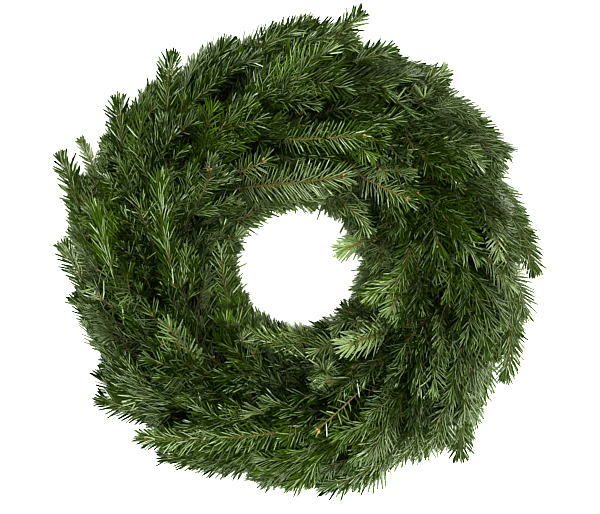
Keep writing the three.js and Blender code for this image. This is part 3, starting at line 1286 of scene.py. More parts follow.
LEADERS: dict[str, tuple[Leader, ...]] = {
    "sprig_01_outer": (
        Leader(0.70, ((241, 19, 20), (250, -13, 20)), (0.1, 0.6, 0.4), **BREAKOUT),
    ),
    "sprig_02_crown": (
        Leader(0.30, ((63, 80, 87), (90, 68, 98), (112, 56, 100)), (0.1, 0.8, 0.45), buds=5),
    ),
    "sprig_02_inner": (
        Leader(
            0.25, ((41, 57, 70), (58, 46, 74), (72, 28, 72)),
            (0.06, 0.58, 0.32), buds=0, comb=0.6, spread=52.0, blade=18.0,
        ),
        Leader(
            0.60, ((78, 25, 42), (68, 11, 52), (50, 6, 56)),
            (0.0, 0.6, 0.4), roll=170.0, blade=24.0, buds=1, spread=56.0,
        ),
    ),
    "sprig_02_outer": (
        Leader(
            0.30, ((121, 171, 40), (150, 190, 36)),
            (0.05, 0.7, 0.5), buds=1, comb=0.5, spread=50.0, dense=620.0,
        ),
    ),
    "sprig_03_crown": (
        Leader(
            0.12, ((-23, 119, 84), (23, 118, 100), (68, 123, 104)),
            (0.3, 0.6, 0.05), roll=8.0, comb=0.75, buds=6,
        ),
    ),
    "sprig_03_outer": (
        Leader(0.55, ((55, 202, 40), (94, 213, 34)), (0.1, 0.5, 0.1), **BREAKOUT),
    ),
    "sprig_04_crown": (
        Leader(0.25, ((-63, 82, 91), (-34, 96, 104)), (0.2, 0.7, 0.2), comb=0.5, buds=7),
    ),
    "sprig_04_outer": (
        Leader(0.50, ((-37, 219, 46), (7, 242, 44)), (0.1, 0.5, 0.1), **BREAKOUT),
        Leader(0.80, ((40, 229, 44), (63, 249, 42)), (0.1, 0.5, 0.1), **BREAKOUT),
    ),
    "sprig_05_inner": (
        Leader(
            0.35, ((-76, 67, 66), (-34, 71, 90), (8, 74, 99), (47, 80, 101)),
            (0.15, 0.78, 0.45), blade=25.0, roll=12.0, comb=0.8, buds=6,
        ),
        Leader(
            0.20, ((-65, 29, 50), (-41, 49, 62), (-10, 59, 68), (26, 59, 64)),
            (0.12, 0.75, 0.4), **RIM,
        ),
    ),
    "sprig_05_shoulder": (
        Leader(0.45, ((-137, 161, 62), (-133, 201, 56)), (0.1, 0.5, 0.1), **BREAKOUT),
    ),
    "sprig_06_crown": (
        Leader(
            0.60, ((-88, 83, 100), (-90, 88, 109)),
            (0.15, 0.75, 0.25), comb=0.3, blade=15.0, buds=7,
        ),
    ),
    "sprig_06_outer": (
        Leader(0.60, ((-185, 130, 46), (-188, 156, 46)), (0.1, 0.5, 0.1), **BREAKOUT),
    ),
    "sprig_07_outer": (
        Leader(
            0.70, ((-212, 85, 34), (-227, 116, 36)),
            (0.1, 0.85, 0.7), blade=14.0, dense=800.0, comb=0.6, buds=2, spread=54.0,
        ),
        Leader(0.80, ((-240, 75, 16), (-249, 98, 16)), (0.1, 0.55, 0.25), **BREAKOUT),
    ),
    "sprig_08_outer": (
        Leader(0.75, ((-223, -31, 42), (-244, 4, 40)), (0.1, 0.6, 0.3), **BREAKOUT),
    ),
    "sprig_09_outer": (
        Leader(0.65, ((-172, -167, 18), (-204, -157, 18)), (0.1, 0.55, 0.1), **BREAKOUT),
    ),
    "sprig_10_crown": (Leader(0.10, ((49, -91, 76), (21, -99, 84)), (0.2, 0.75, 0.3), buds=3),),
    "sprig_10_shoulder": (
        Leader(
            0.15, ((3, -182, 87), (-54, -189, 92), (-111, -193, 80), (-158, -193, 64)),
            (0.25, 0.55, 0.05), comb=0.7,
        ),
    ),
    "sprig_11_inner": (
        Leader(
            0.10, ((98, -78, 70), (77, -85, 90), (54, -93, 96)),
            (0.02, 0.95, 0.5), roll=175.0, blade=26.0, buds=2, spread=56.0,
        ),
        Leader(
            0.25, ((51, -84, 54), (21, -96, 60), (-13, -97, 62), (-43, -86, 58)),
            (0.55, 0.7, 0.15), **RIM,
        ),
    ),
    "sprig_11_crown": (
        Leader(
            0.30, ((62, -143, 96), (46, -158, 105), (21, -180, 103)),
            (0.35, 0.6, 0.1), dense=330.0, blade=15.0, buds=6,
        ),
    ),
    "sprig_12_outer": (
        Leader(0.80, ((57, -238, 40), (32, -245, 38)), (0.1, 0.55, 0.1), **BREAKOUT),
    ),
    "sprig_13_outer": (
        Leader(0.85, ((175, -182, 14), (173, -209, 14)), (0.1, 0.55, 0.3), **BREAKOUT),
    ),
    "sprig_14_inner": (
        Leader(0.25, ((86, 8, 60), (89, -19, 66), (80, -53, 62)), (0.18, 0.8, 0.32), **RIM),
    ),
    "sprig_14_crown": (
        Leader(
            0.30, ((110, -24, 84), (94, -32, 86), (76, -42, 80)),
            (0.55, 0.58, 0.15), buds=0, comb=0.6, spread=50.0,
        ),
    ),
    "sprig_08_inner": (
        Leader(0.40, ((-69, -57, 50), (-79, -27, 56), (-79, 4, 58)), (0.25, 0.7, 0.2), **RIM),
    ),
    "sprig_08_shoulder": (
        Leader(
            0.35, ((-185, -48, 74), (-197, -1, 76), (-208, 42, 66)),
            (0.42, 0.5, 0.06), **PLUME,
        ),
    ),
    "sprig_07_crown": (
        Leader(
            0.30, ((-129, -15, 98), (-140, 30, 103), (-141, 70, 101)),
            (0.22, 0.48, 0.04), **PLUME,
        ),
    ),
    "sprig_14_outer": (
        Leader(0.80, ((226, -95, 42), (219, -124, 40)), (0.1, 0.6, 0.4), **BREAKOUT),
    ),
}


@dataclass
class Finishes:
    """The materials shared by all pieces."""

    needle: bpy.types.Material
    bark: bpy.types.Material
    bud: bpy.types.Material
    straw: bpy.types.Material
    twine: bpy.types.Material
    wire: bpy.types.Material

    @classmethod
    def made(cls) -> "Finishes":
        """Builds every material once."""
        kinds = (NeedleFinish, BarkFinish, BudFinish, StrawFinish, TwineFinish, WireFinish)
        return cls(*(kind().material() for kind in kinds))


@dataclass(frozen=True)
class Clearance:
    """The room that twigs keep to, so that their needles end where the real ones do.

    Attributes:
        tips: angle and distance from the outline's middle of the outer sprigs' tips.
        leads: points of the leaders, which nothing else may cover.
        beyond: how much further than those tips a side twig may go.
        dip: how much nearer it ends just past a tip.
        notches: angle in degrees and depth of further dips in the outline.
        notch_half: their half-width in degrees.
        middle: the outline's middle.
        hole: nearest a twig comes to the hole's middle.
        hole_middle: the hole's middle.
        floor: lowest it lies.
        ceiling: highest it lies.
        straw: nearest it comes to the middle of the straw's section.
        needle_floor: lowest a needle's tip lies.
        needle_ceiling: highest it lies.
        under: how far under a leader the main twig, a side twig and a needle's tip stay.
        lid_half: how far to each side of a leader it holds others down.
        lid_slope: how fast that eases off to the sides.
        easing: how far off a limit twigs start to turn away from it.
    """

    ring: RingFrame
    tips: np.ndarray
    leads: np.ndarray
    beyond: float = 1 * MM
    dip: float = 15 * MM
    notches: tuple[tuple[float, float], ...] = (
        (20, 13 * MM), (70, 9 * MM), (190, 11 * MM), (240, 8 * MM),
    )
    notch_half: float = 7.0
    middle: tuple[float, float] = (0.5 * MM, -4 * MM)
    hole: float = 68 * MM
    hole_middle: tuple[float, float] = (2 * MM, -14 * MM)
    floor: float = 6 * MM
    ceiling: float = 106 * MM
    straw: float = 29 * MM
    needle_floor: float = 2 * MM
    needle_ceiling: float = 119 * MM
    under: Triple = (9 * MM, 7 * MM, 1 * MM)
    lid_half: float = 14 * MM
    lid_slope: float = 0.8
    easing: float = 25 * MM

    @classmethod
    def round_tips(cls, ring: RingFrame, tips: list[np.ndarray], leads: np.ndarray) -> "Clearance":
        """The room inside an outline through these tips, given as points, and under the leads."""
        flat = np.array(tips)[:, :2] - np.array(cls.middle)
        turn, far = np.arctan2(flat[:, 1], flat[:, 0]), np.linalg.norm(flat, axis=1)
        return cls(ring, np.stack([turn, far], axis=-1)[np.argsort(turn)], leads)

    def outline(self, flat: np.ndarray) -> np.ndarray:
        """Furthest distance for twigs in these directions.

        It runs straight between the tips' own distances, less a dip that sets in just past
        a tip, going clockwise, and shrinks evenly to nothing at the next tip; each notch
        takes off a bell of its depth.
        """
        angle = np.arctan2(flat[:, 1], flat[:, 0])
        turns = self.tips[:, 0]
        after = np.searchsorted(turns, angle)
        ahead = np.where(after < len(turns), turns[after % len(turns)], turns[0] + math.tau)
        behind = np.where(after > 0, turns[after - 1], turns[-1] - math.tau)
        past = (ahead - angle) / (ahead - behind)
        dip = self.dip * smoothstep(0.02, 0.22, past) * (1 - past)
        where, depth = np.array(self.notches).T
        apart = (np.degrees(angle)[:, None] - where + 180) % 360 - 180
        dip = dip + (depth * bell(apart, self.notch_half)).sum(axis=1)
        return np.interp(angle, turns, self.tips[:, 1], period=math.tau) + self.beyond - dip

    def lid(self, points: np.ndarray, under: float, ceiling: float) -> np.ndarray:
        """Highest these points may lie.

        That is the ceiling, or near a leader as far under it as asked, plus the lid's slope
        times the distance aside from it.

        Args:
            points: points of a twig or tips of needles.
            under: how far under a leader they stay.
            ceiling: their limit everywhere else.

        Returns:
            One height for each point.
        """
        apart = np.linalg.norm(points[:, None, :2] - self.leads[None, :, :2], axis=2)
        near = apart.argmin(axis=1)
        aside = apart[np.arange(len(points)), near]
        limit = self.leads[near, 2] - under + self.lid_slope * aside
        return np.minimum(ceiling, np.where(aside < self.lid_half, limit, np.inf))

    def keep(self, path: np.ndarray, slack: float) -> np.ndarray:
        """A path eased back inside the clearance.

        A distance that comes near its limit is drawn in by a hyperbolic tangent, so that it
        levels off at the limit; heights and the straw's reach are held by a plain limit.

        Args:
            path: points of a twig.
            slack: added to the outline's limit for this twig.

        Returns:
            The eased points.
        """
        kept = path.copy()
        run = self.easing
        for centre, sign in ((self.middle, 1.0), (self.hole_middle, -1.0)):
            flat = kept[:, :2] - np.array(centre)
            far = np.linalg.norm(flat, axis=1)
            limit = self.outline(flat) + slack if sign > 0 else self.hole
            over = sign * (far - limit) + run
            eased = np.where(over > 0, run * np.tanh(np.maximum(over, 0) / run), over)
            new = limit + sign * (eased - run)
            kept[:, :2] = np.array(centre) + flat * (new / far)[:, None]
        turn, round_, reach = self.ring.coordinates(kept)
        kept = self.ring.point(turn, round_, np.maximum(reach, self.straw))
        kept[:, 2] = np.clip(kept[:, 2], self.floor, self.lid(kept, self.under[1], self.ceiling))
        return kept


@dataclass
class Thicket:
    """How far the foliage reaches out all round the ring, to tell how deep a needle lies and how
    much painted shade it gets.

    The map of reaches has one cell for each step in turn and in round.
    """

    ring: RingFrame
    cells: tuple[int, int] = (150, 32)

    def __post_init__(self) -> None:
        """Starts with no foliage."""
        self.reach = np.zeros(self.cells)

    def cell(self, points: np.ndarray) -> tuple[tuple[np.ndarray, np.ndarray], np.ndarray]:
        """The cell of each point, and its reach."""
        turn, round_, reach = self.ring.coordinates(points)
        i = (turn / math.tau * self.cells[0]).astype(int) % self.cells[0]
        j = (round_ / math.tau * self.cells[1]).astype(int) % self.cells[1]
        return (i, j), reach

    def fill(self, points: np.ndarray) -> None:
        """Takes points of foliage in: each cell keeps its greatest reach."""
        where, reach = self.cell(points)
        np.maximum.at(self.reach, where, reach)

    def depth(self, points: np.ndarray) -> np.ndarray:
        """Depth of points under the foliage's surface, its map first smoothed over 3 by 3."""
        smooth = self.reach
        for axis in (0, 1):
            smooth = sum(np.roll(smooth, step, axis=axis) for step in (-1, 0, 1)) / 3
        where, reach = self.cell(points)
        return smooth[where] - reach


@dataclass(frozen=True)
class Growth:
    """Where the foliage is fresher, lighter or greyer than the rest, seen from above.

    The light and dark patches and the zones' lightness and greyness are painted light and
    shade; freshness is the foliage's own colour.

    Attributes:
        fresh: middles of the fresh spots.
        fresh_half: their half-width.
        fresh_gain: freshness in the middle of one.
        patches: middles of the painted light and shade patches, and their lightness.
        patch_half: their half-width.
        usual: mean of freshness, lightness and greyness.
        chance: and the chance in each.
        zones: distances from the middle at which the zone round the hole, the outside and
            the outside's right begin and are full.
        light_gain: painted light, the lightness added in each zone.
        grey_gain: and the greyness added, painted light as well.
    """

    fresh: tuple[tuple[float, float], ...] = (
        (-0.202, 0.028), (-0.071, -0.069), (0.081, -0.033), (0.045, 0.115),
        (-0.105, 0.118), (0.005, -0.208), (0.065, -0.175), (-0.010, 0.187),
    )
    fresh_half: float = 24 * MM
    fresh_gain: float = 0.62
    patches: tuple[Triple, ...] = (
        (0.130, 0.075, -0.20), (-0.075, 0.130, -0.16), (0.080, -0.130, 0.18),
        (-0.130, 0.070, 0.16), (0.095, 0.020, 0.20), (0.210, 0.090, 0.12),
    )
    patch_half: float = 42 * MM
    usual: Triple = (0.10, 0.49, 0.01)
    chance: Triple = (0.12, 0.16, 0.08)
    zones: tuple[tuple[float, float], ...] = ((0.112, 0.082), (0.185, 0.235), (0.16, 0.23))
    light_gain: Triple = (0.30, 0.20, 0.34)
    grey_gain: Triple = (0.24, 0.15, 0.30)

    def tint(self, place: np.ndarray, rng: np.random.Generator) -> Triple:
        """Freshness, lightness and greyness of a shoot whose middle is at place.

        Freshness falls off from each fresh spot as a bell, and painted light and shade from
        each patch; painted light raises lightness and greyness towards the hole and the
        outside, there above all to the right.

        Args:
            place: the shoot's middle.
            rng: the sprig's own source of chance.

        Returns:
            The three numbers, each from 0 to 1.
        """
        far = np.linalg.norm(place[:2])
        where = np.array([float(smoothstep(*zone, far)) for zone in self.zones])
        where[2] *= max(0.0, place[0] / max(far, 1e-6))
        spots, patches = np.array(self.fresh), np.array(self.patches)
        near_spot = bell(np.linalg.norm(spots - place[:2], axis=1), self.fresh_half)
        near_patch = bell(np.linalg.norm(patches[:, :2] - place[:2], axis=1), self.patch_half)
        tint = rng.normal(self.usual, self.chance)
        tint[0] += self.fresh_gain * near_spot.sum()
        # Painted light and shade: the zones' and patches' share of lightness, and the zones'
        # greyness.
        tint[1] += (where * self.light_gain).sum() + (patches[:, 2] * near_patch).sum()
        tint[2] += (where * self.grey_gain).sum()
        return tuple(float(value) for value in np.clip(tint, 0.0, 1.0))


MAIN_TWIG = {"thick": 4.4 * MM, "thin": 2.0 * MM, "bare": 0.14, "dense": 1080.0, "buds": 3}
SIDE_TWIG = {"thick": 2.2 * MM, "thin": 1.2 * MM, "bare": 0.05}
SMALL_TWIG = {"thick": 2.0 * MM, "thin": 1.5 * MM, "buds": 0}
LEADING_TWIG = {"thick": 2.5 * MM, "thin": 1.8 * MM, "bare": 0.10}


@dataclass
class Sprig:
    """One fir sprig: a main twig along its CAD spine, with side shoots.

    Attributes:
        node: name of the CAD node it stands for.
        row: its row, from 1.
        place: its place round the section.
        spine: the CAD sprig's middle line.
        room: the room its side shoots keep to.
    """

    node: str
    row: int
    place: Place
    spine: Spine
    room: Clearance

    def __post_init__(self) -> None:
        """Seeds the sprig's own chance from its row and place, and grows it."""
        order = list(Place).index(self.place)
        self.rng = np.random.default_rng(7000 + self.row * 10 + order)
        self.habit = HABITS[self.place]
        self.growth = Growth()
        self.spread = self.rng.uniform(38, 58)
        self.line = self.spine.turned(self.habit.flat)
        self.leaders = LEADERS.get(self.node, ())
        self.shoots = self.grow()
        lots = [shoot.needles(self.rng) for shoot in self.shoots]
        self.needles = Needles.joined(lots)
        room, least_rise = self.room, 1 * MM
        tops = room.lid(self.needles.tips(), room.under[2], room.needle_ceiling)
        tops = np.maximum(tops, self.needles.base[:, 2] + least_rise)
        others = sum(len(lot.length) for lot in lots[:len(lots) - len(self.leaders)])
        self.leading = np.arange(len(tops)) >= others
        self.tops = np.where(self.leading, room.needle_ceiling, tops)

    def grow(self) -> list[Shoot]:
        """The main shoot, its side shoots and their own small ones, and the leaders.

        Returns:
            All shoots, the main one first and the leaders last.
        """
        habit = self.habit
        grown = [self.main_shoot()]
        for number in range(habit.forks):
            fork = habit.first + (habit.last - habit.first) * number / (habit.forks - 1)
            fork += self.rng.uniform(-0.02, 0.02)
            hand = -1.0 if (number + self.row) % 2 else 1.0
            side = self.side_shoot(fork, hand)
            grown.append(side)
            if side.length > habit.forking:
                grown.append(self.twiglet(side, hand * self.rng.choice([1.0, 1.0, -1.0])))
        return grown + [self.lead(leader) for leader in self.leaders]

    def main_shoot(self) -> Shoot:
        """The main shoot, along the CAD sprig's middle line.

        It sways to both sides as a sine of the way along it, sinks a little in its middle
        as half a sine, and stays under the leaders.
        """
        line, rng = self.line, self.rng
        root, short, swing, sag = 2 * MM, 3 * MM, 2.5 * MM, 2 * MM
        tip = line.length - short - SHORTENED.get(self.node, 0.0)
        far = np.linspace(root, tip, 26)
        sway = swing * np.sin(far / line.length * 7 + rng.uniform(0, 6))
        path = line.place(far, sway, -sag * np.sin(np.pi * far / line.length))
        path[:, 2] = np.minimum(path[:, 2], self.room.lid(path, self.room.under[0], np.inf))
        return Shoot(
            path=path,
            up=line.up_at(far),
            blade=rng.uniform(20, 24) * MM,
            spread=math.radians(self.spread),
            roll=rng.normal(0, 0.25),
            tint=self.growth.tint(path[16], rng),
            comb=rng.uniform(0.0, 0.35),
            **MAIN_TWIG,
        )

    def lead(self, leader: Leader) -> Shoot:
        """A leader of the sprig as a shoot; its up leans out a little from its middle."""
        path = leader.path(self.spine)
        return Shoot(
            path=path,
            up=np.array([0.0, 0.0, 1.0]) + unit(path - path.mean(axis=0)) * 0.01,
            dense=leader.dense,
            blade=leader.blade * MM,
            spread=math.radians(leader.spread),
            roll=math.radians(leader.roll),
            tint=leader.tint,
            comb=leader.comb,
            buds=leader.buds,
            **LEADING_TWIG,
        )

    def side_shoot(self, fork: float, hand: float) -> Shoot:
        """One side shoot.

        It leaves at a wide angle and bends forward: the distance from the spine is the
        running sum of sin(angle), and the way forward that of cos(angle), where the angle
        falls off exponentially from its opening to its closing value. Shoots are shorter
        towards the sprig's tip. A few are turned over and show their pale undersides.

        Args:
            fork: where it leaves, as a share of the sprig.
            hand: 1 to the right, -1 to the left.

        Returns:
            The shoot.
        """
        line, rng, habit = self.line, self.rng, self.habit
        last, gained, past_tip, falling = 0.42, 0.58, 12 * MM, 2.6
        overturning, sparse = 0.07, 620.0
        start = fork * line.length
        share = (1 - fork) / (1 - habit.first)
        length = habit.reach * (last + gained * share) * rng.uniform(0.7, 1.05)
        length = min(length, line.length - start + past_tip)
        steps = np.linspace(0, 1, 12)
        opening, closing = np.radians(rng.uniform((42, 6), (60, 24)))
        angle = closing + (opening - closing) * np.exp(-steps * falling)
        stride = length / (len(steps) - 1)
        ahead = np.concatenate([[0], np.cumsum(np.cos(angle[1:]) * stride)])
        aside = np.concatenate([[0], np.cumsum(np.sin(angle[1:]) * stride)])
        rise = rng.uniform(-9, 12) * MM * steps**1.2
        path = line.place(start + ahead, hand * aside, rise)
        path = self.room.keep(path, rng.normal(0, 6 * MM))
        turned_over = rng.random() < overturning
        return Shoot(
            path=path,
            up=line.up_at(start + ahead),
            dense=sparse if fork < habit.covered else rng.uniform(840, 1060),
            blade=rng.uniform(18, 24) * MM,
            spread=math.radians(self.spread + rng.normal(0, 4)),
            roll=hand * rng.normal(0.2, 0.35)
            + (math.pi * rng.uniform(0.6, 1.0) if turned_over else 0.0),
            tint=self.growth.tint(path[7], rng),
            comb=rng.uniform(0.0, 0.3),
            buds=int(rng.choice([0, 0, 1, 2])),
            **SIDE_TWIG,
        )

    def twiglet(self, side: Shoot, hand: float) -> Shoot:
        """A small shoot that forks off a side shoot.

        It opens wide and straightens: the way forward grows evenly and the way aside with
        the 0.7th power of it.

        Args:
            side: the side shoot.
            hand: 1 to its right, -1 to its left.

        Returns:
            The small shoot.
        """
        rng = self.rng
        start = side.length * rng.uniform(0.3, 0.5)
        length = side.length * rng.uniform(0.36, 0.5)
        place, tangent, up, across = side.frame_at(start)
        forward, aside, shrunk = 0.8, 0.55, 0.92
        s = np.linspace(0, 1, 8)
        path = (
            place
            + tangent * (s * length * forward)[:, None]
            + across * (hand * aside * length * s**0.7)[:, None]
            + up * (rng.uniform(-4, 6) * MM * s)[:, None]
        )
        return Shoot(
            path=self.room.keep(path, rng.normal(0, 4 * MM)),
            up=np.repeat(up[None], len(s), axis=0),
            dense=side.dense,
            blade=side.blade * shrunk,
            spread=side.spread,
            tint=side.tint,
            comb=side.comb,
            **SMALL_TWIG,
        )

    def shaded(self, thicket: Thicket) -> Needles:
        """The sprig's needles, those deep in the foliage darkened by painted shade, none in the
        floor.

        Tints fall with the depth a little along the needle, as painted shade that also dulls
        their gloss. A needle whose tip would pass its lowest or highest place is tilted until
        it doesn't, its face and curl with it.

        Args:
            thicket: the whole wreath's foliage.

        Returns:
            The needles, changed in place.
        """
        needles = self.needles
        base, aim = needles.base, needles.aim
        probe, leading_share, painted_shade = 8 * MM, 0.35, np.array([0.8, 0.92, 0.8])
        lowest_base, near_floor = 2.5 * MM, 6 * MM
        # Painted shade: needles deep under the foliage's surface get their tint darkened, the
        # leaders' own needles only leading_share of it.
        deep = smoothstep(0.5 * MM, 11 * MM, thicket.depth(base + aim * probe))
        deep = np.where(self.leading, leading_share * deep, deep)
        needles.tint *= 1 - deep[:, None] * painted_shade
        base[:, 2] = np.maximum(base[:, 2], lowest_base)
        lowest = np.full(len(base), self.room.needle_floor)
        slopes = (np.stack([lowest, self.tops]) - base[:, 2]) / needles.length
        rise = np.clip(aim[:, 2], *np.clip(slopes, -0.98, 0.98))
        moved = rise != aim[:, 2]
        flat = unit(aim[moved, :2] + 1e-6) * np.sqrt(1 - rise[moved] ** 2)[:, None]
        aim[moved] = np.column_stack([flat, rise[moved]])
        needles.face = square_to(needles.face, aim)
        needles.curl = square_to(needles.curl, aim)
        near = needles.tips()[:, 2] < near_floor
        needles.curl[near, 2] = np.abs(needles.curl[near, 2])
        return needles

    def build(self, finishes: Finishes, thicket: Thicket) -> bpy.types.Object:
        """Makes the sprig's mesh and puts it in its CAD node's place.

        Args:
            finishes: the shared materials.
            thicket: the whole wreath's foliage.

        Returns:
            The piece.
        """
        skin = Skin()
        needles = self.shaded(thicket)
        cells = Cells(*NEEDLE_BLOCK, len(needles.length), tall=2.2)
        NeedleShape().into(skin, needles, cells, 0)
        self.add_twigs(skin)
        self.add_buds(skin)
        piece = skin.build(f"{self.node}_greens", [finishes.needle, finishes.bark, finishes.bud])
        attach(piece, "root")
        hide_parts(self.node)
        LOG.info("%s: %d shoots, %d needles", piece.name, len(self.shoots), len(needles.length))
        return piece

    def add_twigs(self, skin: Skin) -> None:
        """Adds every shoot's twig, thinning to its tip and swelling a little by turns."""
        cells = Cells(*TWIG_BLOCK, len(self.shoots), tall=0.6)
        swelling, every = 0.07, 2.1
        for number, shoot in enumerate(self.shoots):
            share = shoot.far / shoot.length
            radius = (shoot.thick + (shoot.thin - shoot.thick) * share**0.7) / 2
            radius = radius * (1 + swelling * np.sin(np.arange(len(radius)) * every + number))
            leads = shoot.buds > 3
            orange = float(np.clip(self.rng.normal(0.20, 0.18), 0, 1)) + 0.15 * leads
            tint = (0.5, orange, 0.25 if leads else 0.6)
            TubeShape().into(skin, shoot.path, shoot.up, radius, tint, cells, number, 1)

    def add_buds(self, skin: Skin) -> None:
        """Adds a cluster of buds at every tip: one ahead and the rest leaning out round it."""
        bases, aims, lengths, crowd = [], [], [], []
        off_middle, sunk, fatter = 0.9 * MM, 1.2, 1.25
        for shoot in self.shoots:
            place, tangent, up, side = shoot.frame_at(shoot.length)
            for number in range(shoot.buds):
                first, crowded = number == 0, shoot.buds > 4
                lean = 0.0 if first else math.radians(self.rng.uniform(38, 55))
                turn = number * math.tau / max(shoot.buds - 1, 1) + self.rng.uniform(0, 0.8)
                out = up * math.cos(turn) + side * math.sin(turn)
                aims.append(tangent * math.cos(lean) + out * math.sin(lean))
                bases.append(place + out * (0.0 if first else off_middle) - tangent * sunk * MM)
                lengths.append(self.rng.uniform(3.6, 4.8) * MM * (fatter if crowded else 1.0))
                crowd.append(crowded)
        count = len(bases)
        pale, plain = self.rng.uniform(0.3, 1, count), self.rng.uniform(0, 0.3, count)
        light = np.where(crowd, pale, plain)
        cells = Cells(*BUD_BLOCK, count, tall=1.2)
        bases, aims, lengths = np.array(bases), unit(np.array(aims)), np.array(lengths)
        BudShape().into(skin, bases, aims, lengths, light, cells, 2)


# ---- straw ring and wire


@dataclass
class StrawRing:
    """The pressed straw ring with its flat back, loose stalks and twine.

    Attributes:
        radius: the section's radius.
        pile: how high the flat back's straw stands over the surface that it lies on.
        skirt: how near that surface a stalk or the twine may come.
        rows: rows of sprigs, and so turns of the binding wire.
        first: turn of the first row's cut ends.
        tie: how far on in its row the wire crosses it, as a share of a row.
        back_from: round at which the wire starts to slant across the back.
        back_to: and at which it ends.
        bed: depth of the wire's furrow.
        bed_half: half its width.
        sunk: depth of the furrows between the straw's ridges, halved.
        seam: round at which the surface's grid begins.
        loose: how many loose stalks lie on the back.
        windings: how often the twine goes round the ring.
        twine_lift: height of its middle over the straw.
    """

    ring: RingFrame
    radius: float = 24.2 * MM
    pile: float = 1.5 * MM
    skirt: float = 0.05 * MM
    rows: int = 14
    first: float = math.radians(58.5)
    tie: float = 0.15
    back_from: float = math.radians(222)
    back_to: float = math.radians(318)
    bed: float = 2.2 * MM
    bed_half: float = 8 * MM
    sunk: float = 0.45 * MM
    seam: float = math.radians(-60)
    loose: int = 900
    windings: int = 88
    twine_half: float = 0.4 * MM
    twine_lift: float = 1.1 * MM

    def furrow(self, turn: np.ndarray, round_: np.ndarray) -> np.ndarray:
        """Depth of the wire's furrow: a notch round the line the wire takes on the back.

        The wire's turn grows evenly by one row while round goes from back_from to back_to,
        and the depth falls off evenly to nothing bed_half to each side of it.
        """
        step = math.tau / self.rows
        share = (round_ - self.back_from) / (self.back_to - self.back_from)
        line = self.first - self.tie * step + np.clip(share, 0, 1) * step
        apart = (turn - line + step / 2) % step - step / 2
        near = np.clip(1 - np.abs(apart) * self.ring.radius / self.bed_half, 0, 1)
        edge = smoothstep(-0.30, 0.0, share) * smoothstep(1.30, 1.0, share)
        return self.bed * near * edge

    def surface(self, turn: np.ndarray, round_: np.ndarray, lift: np.ndarray) -> np.ndarray:
        """Points lift above the straw, never below the flat back's plane.

        The section is a circle cut flat just above z = 0, so that loose stalks find room
        there: reach is the smaller of the circle's and the distance to that cut, less the
        furrow's depth, plus lift.
        """
        back_begins = -0.2
        down = np.maximum(-np.sin(round_), 1e-6)
        flat = np.where(np.sin(round_) < back_begins, self.ring.height / down, np.inf)
        reach = np.minimum(self.radius, flat - self.pile) - self.furrow(turn, round_) + lift
        return self.ring.point(turn, round_, np.minimum(reach, flat - self.skirt))

    def body(self, skin: Skin) -> None:
        """Adds the ring's body, a closed grid over turn and round.

        The straw's ridges are a sum of sines that are fine across the stalks and long along
        them, and sink the surface between them.
        """
        turns, rounds, repeats, highest, shade = 448, 72, 6.0, 2.7, 0.35
        i, j = grid(turns, rounds)
        turn = i / turns * math.tau
        round_ = j / rounds * math.tau + self.seam
        ridge = (
            np.sin(23 * round_ + 3.0 * np.sin(5 * turn))
            + np.sin(37 * round_ - 2.2 * np.sin(7 * turn + 1.0) + 2.0)
            + 0.7 * np.sin(11 * turn + 9 * round_)
        )
        places = self.surface(turn, round_, (ridge / highest - 1) * self.sunk)[None]
        quads, at = wall(turns, rounds, closed=True)
        drawn = np.stack([at[..., 1] / rounds, at[..., 0] / turns * repeats], axis=-1)
        quads, drawn = quads[:, FLIPPED], drawn[:, FLIPPED]
        laid = [Cells(*RING_BLOCK, 1).lay(0, 1, drawn * np.array([1.0, 1 / repeats]))]
        skin.add(places, np.full((1, 3), shade), [quads], [drawn], laid, 0)

    def stalks(self, skin: Skin, rng: np.random.Generator) -> None:
        """Adds loose stalks: flattened four-sided strips that follow the ring.

        A stalk's middle line runs along turn with a slight drift in round; its edges lie
        half a width to each side in round, and its back a little above its edges.

        Args:
            skin: where they go.
            rng: the source of chance.
        """
        count, lowest, ridge, deep = self.loose, 0.2 * MM, 0.5 * MM, 0.4 * MM
        taper = np.array([0.25, 0.8, 1, 1, 1, 0.8, 0.25])
        stations = len(taper)
        s = np.linspace(-0.5, 0.5, stations)
        length = rng.uniform(40, 95, count) * MM
        wide = rng.uniform(1.6, 3.2, count) * MM
        turn0 = rng.uniform(0, math.tau, count)
        round0 = rng.uniform(math.radians(185), math.radians(355), count)
        drift = rng.normal(0, 0.16, count)
        bow = rng.uniform(0.3, 1.5, count) * MM
        turn = turn0[:, None] + s * (length / self.ring.radius)[:, None]
        round_ = round0[:, None] + s * drift[:, None]
        half = (wide / 2 / self.radius)[:, None] * taper
        lift = lowest + bow[:, None] * (0.25 - s**2) * 2
        rows = [
            self.surface(turn, round_ - half, lift),
            self.surface(turn, round_, ridge * taper + lift),
            self.surface(turn, round_ + half, lift),
            self.surface(turn, round_, lift - deep),
        ]
        places = np.stack(rows, axis=2).reshape(count, -1, 3)
        quads, at = wall(stations, len(rows))
        drawn = np.stack([at[..., 1] / len(rows), at[..., 0] / stations], axis=-1)
        last = (stations - 1) * len(rows)
        ends = np.array([(0, 1, 2, 3), (last + 3, last + 2, last + 1, last)])
        end_drawn = np.array([((0.0, 0.0), (0.1, 0.0), (0.1, 0.1), (0.0, 0.1))] * 2)
        quads = np.concatenate([quads[:, FLIPPED], ends])
        drawn = np.concatenate([drawn[:, FLIPPED], end_drawn])
        tints = np.stack([rng.uniform(0, 1, count)] * 3, axis=-1)
        laid = [Cells(*STALK_BLOCK, count, tall=0.4).lay(0, count, drawn)]
        skin.add(places, tints, [quads], [drawn * np.array([0.03, 0.1])], laid, 0)

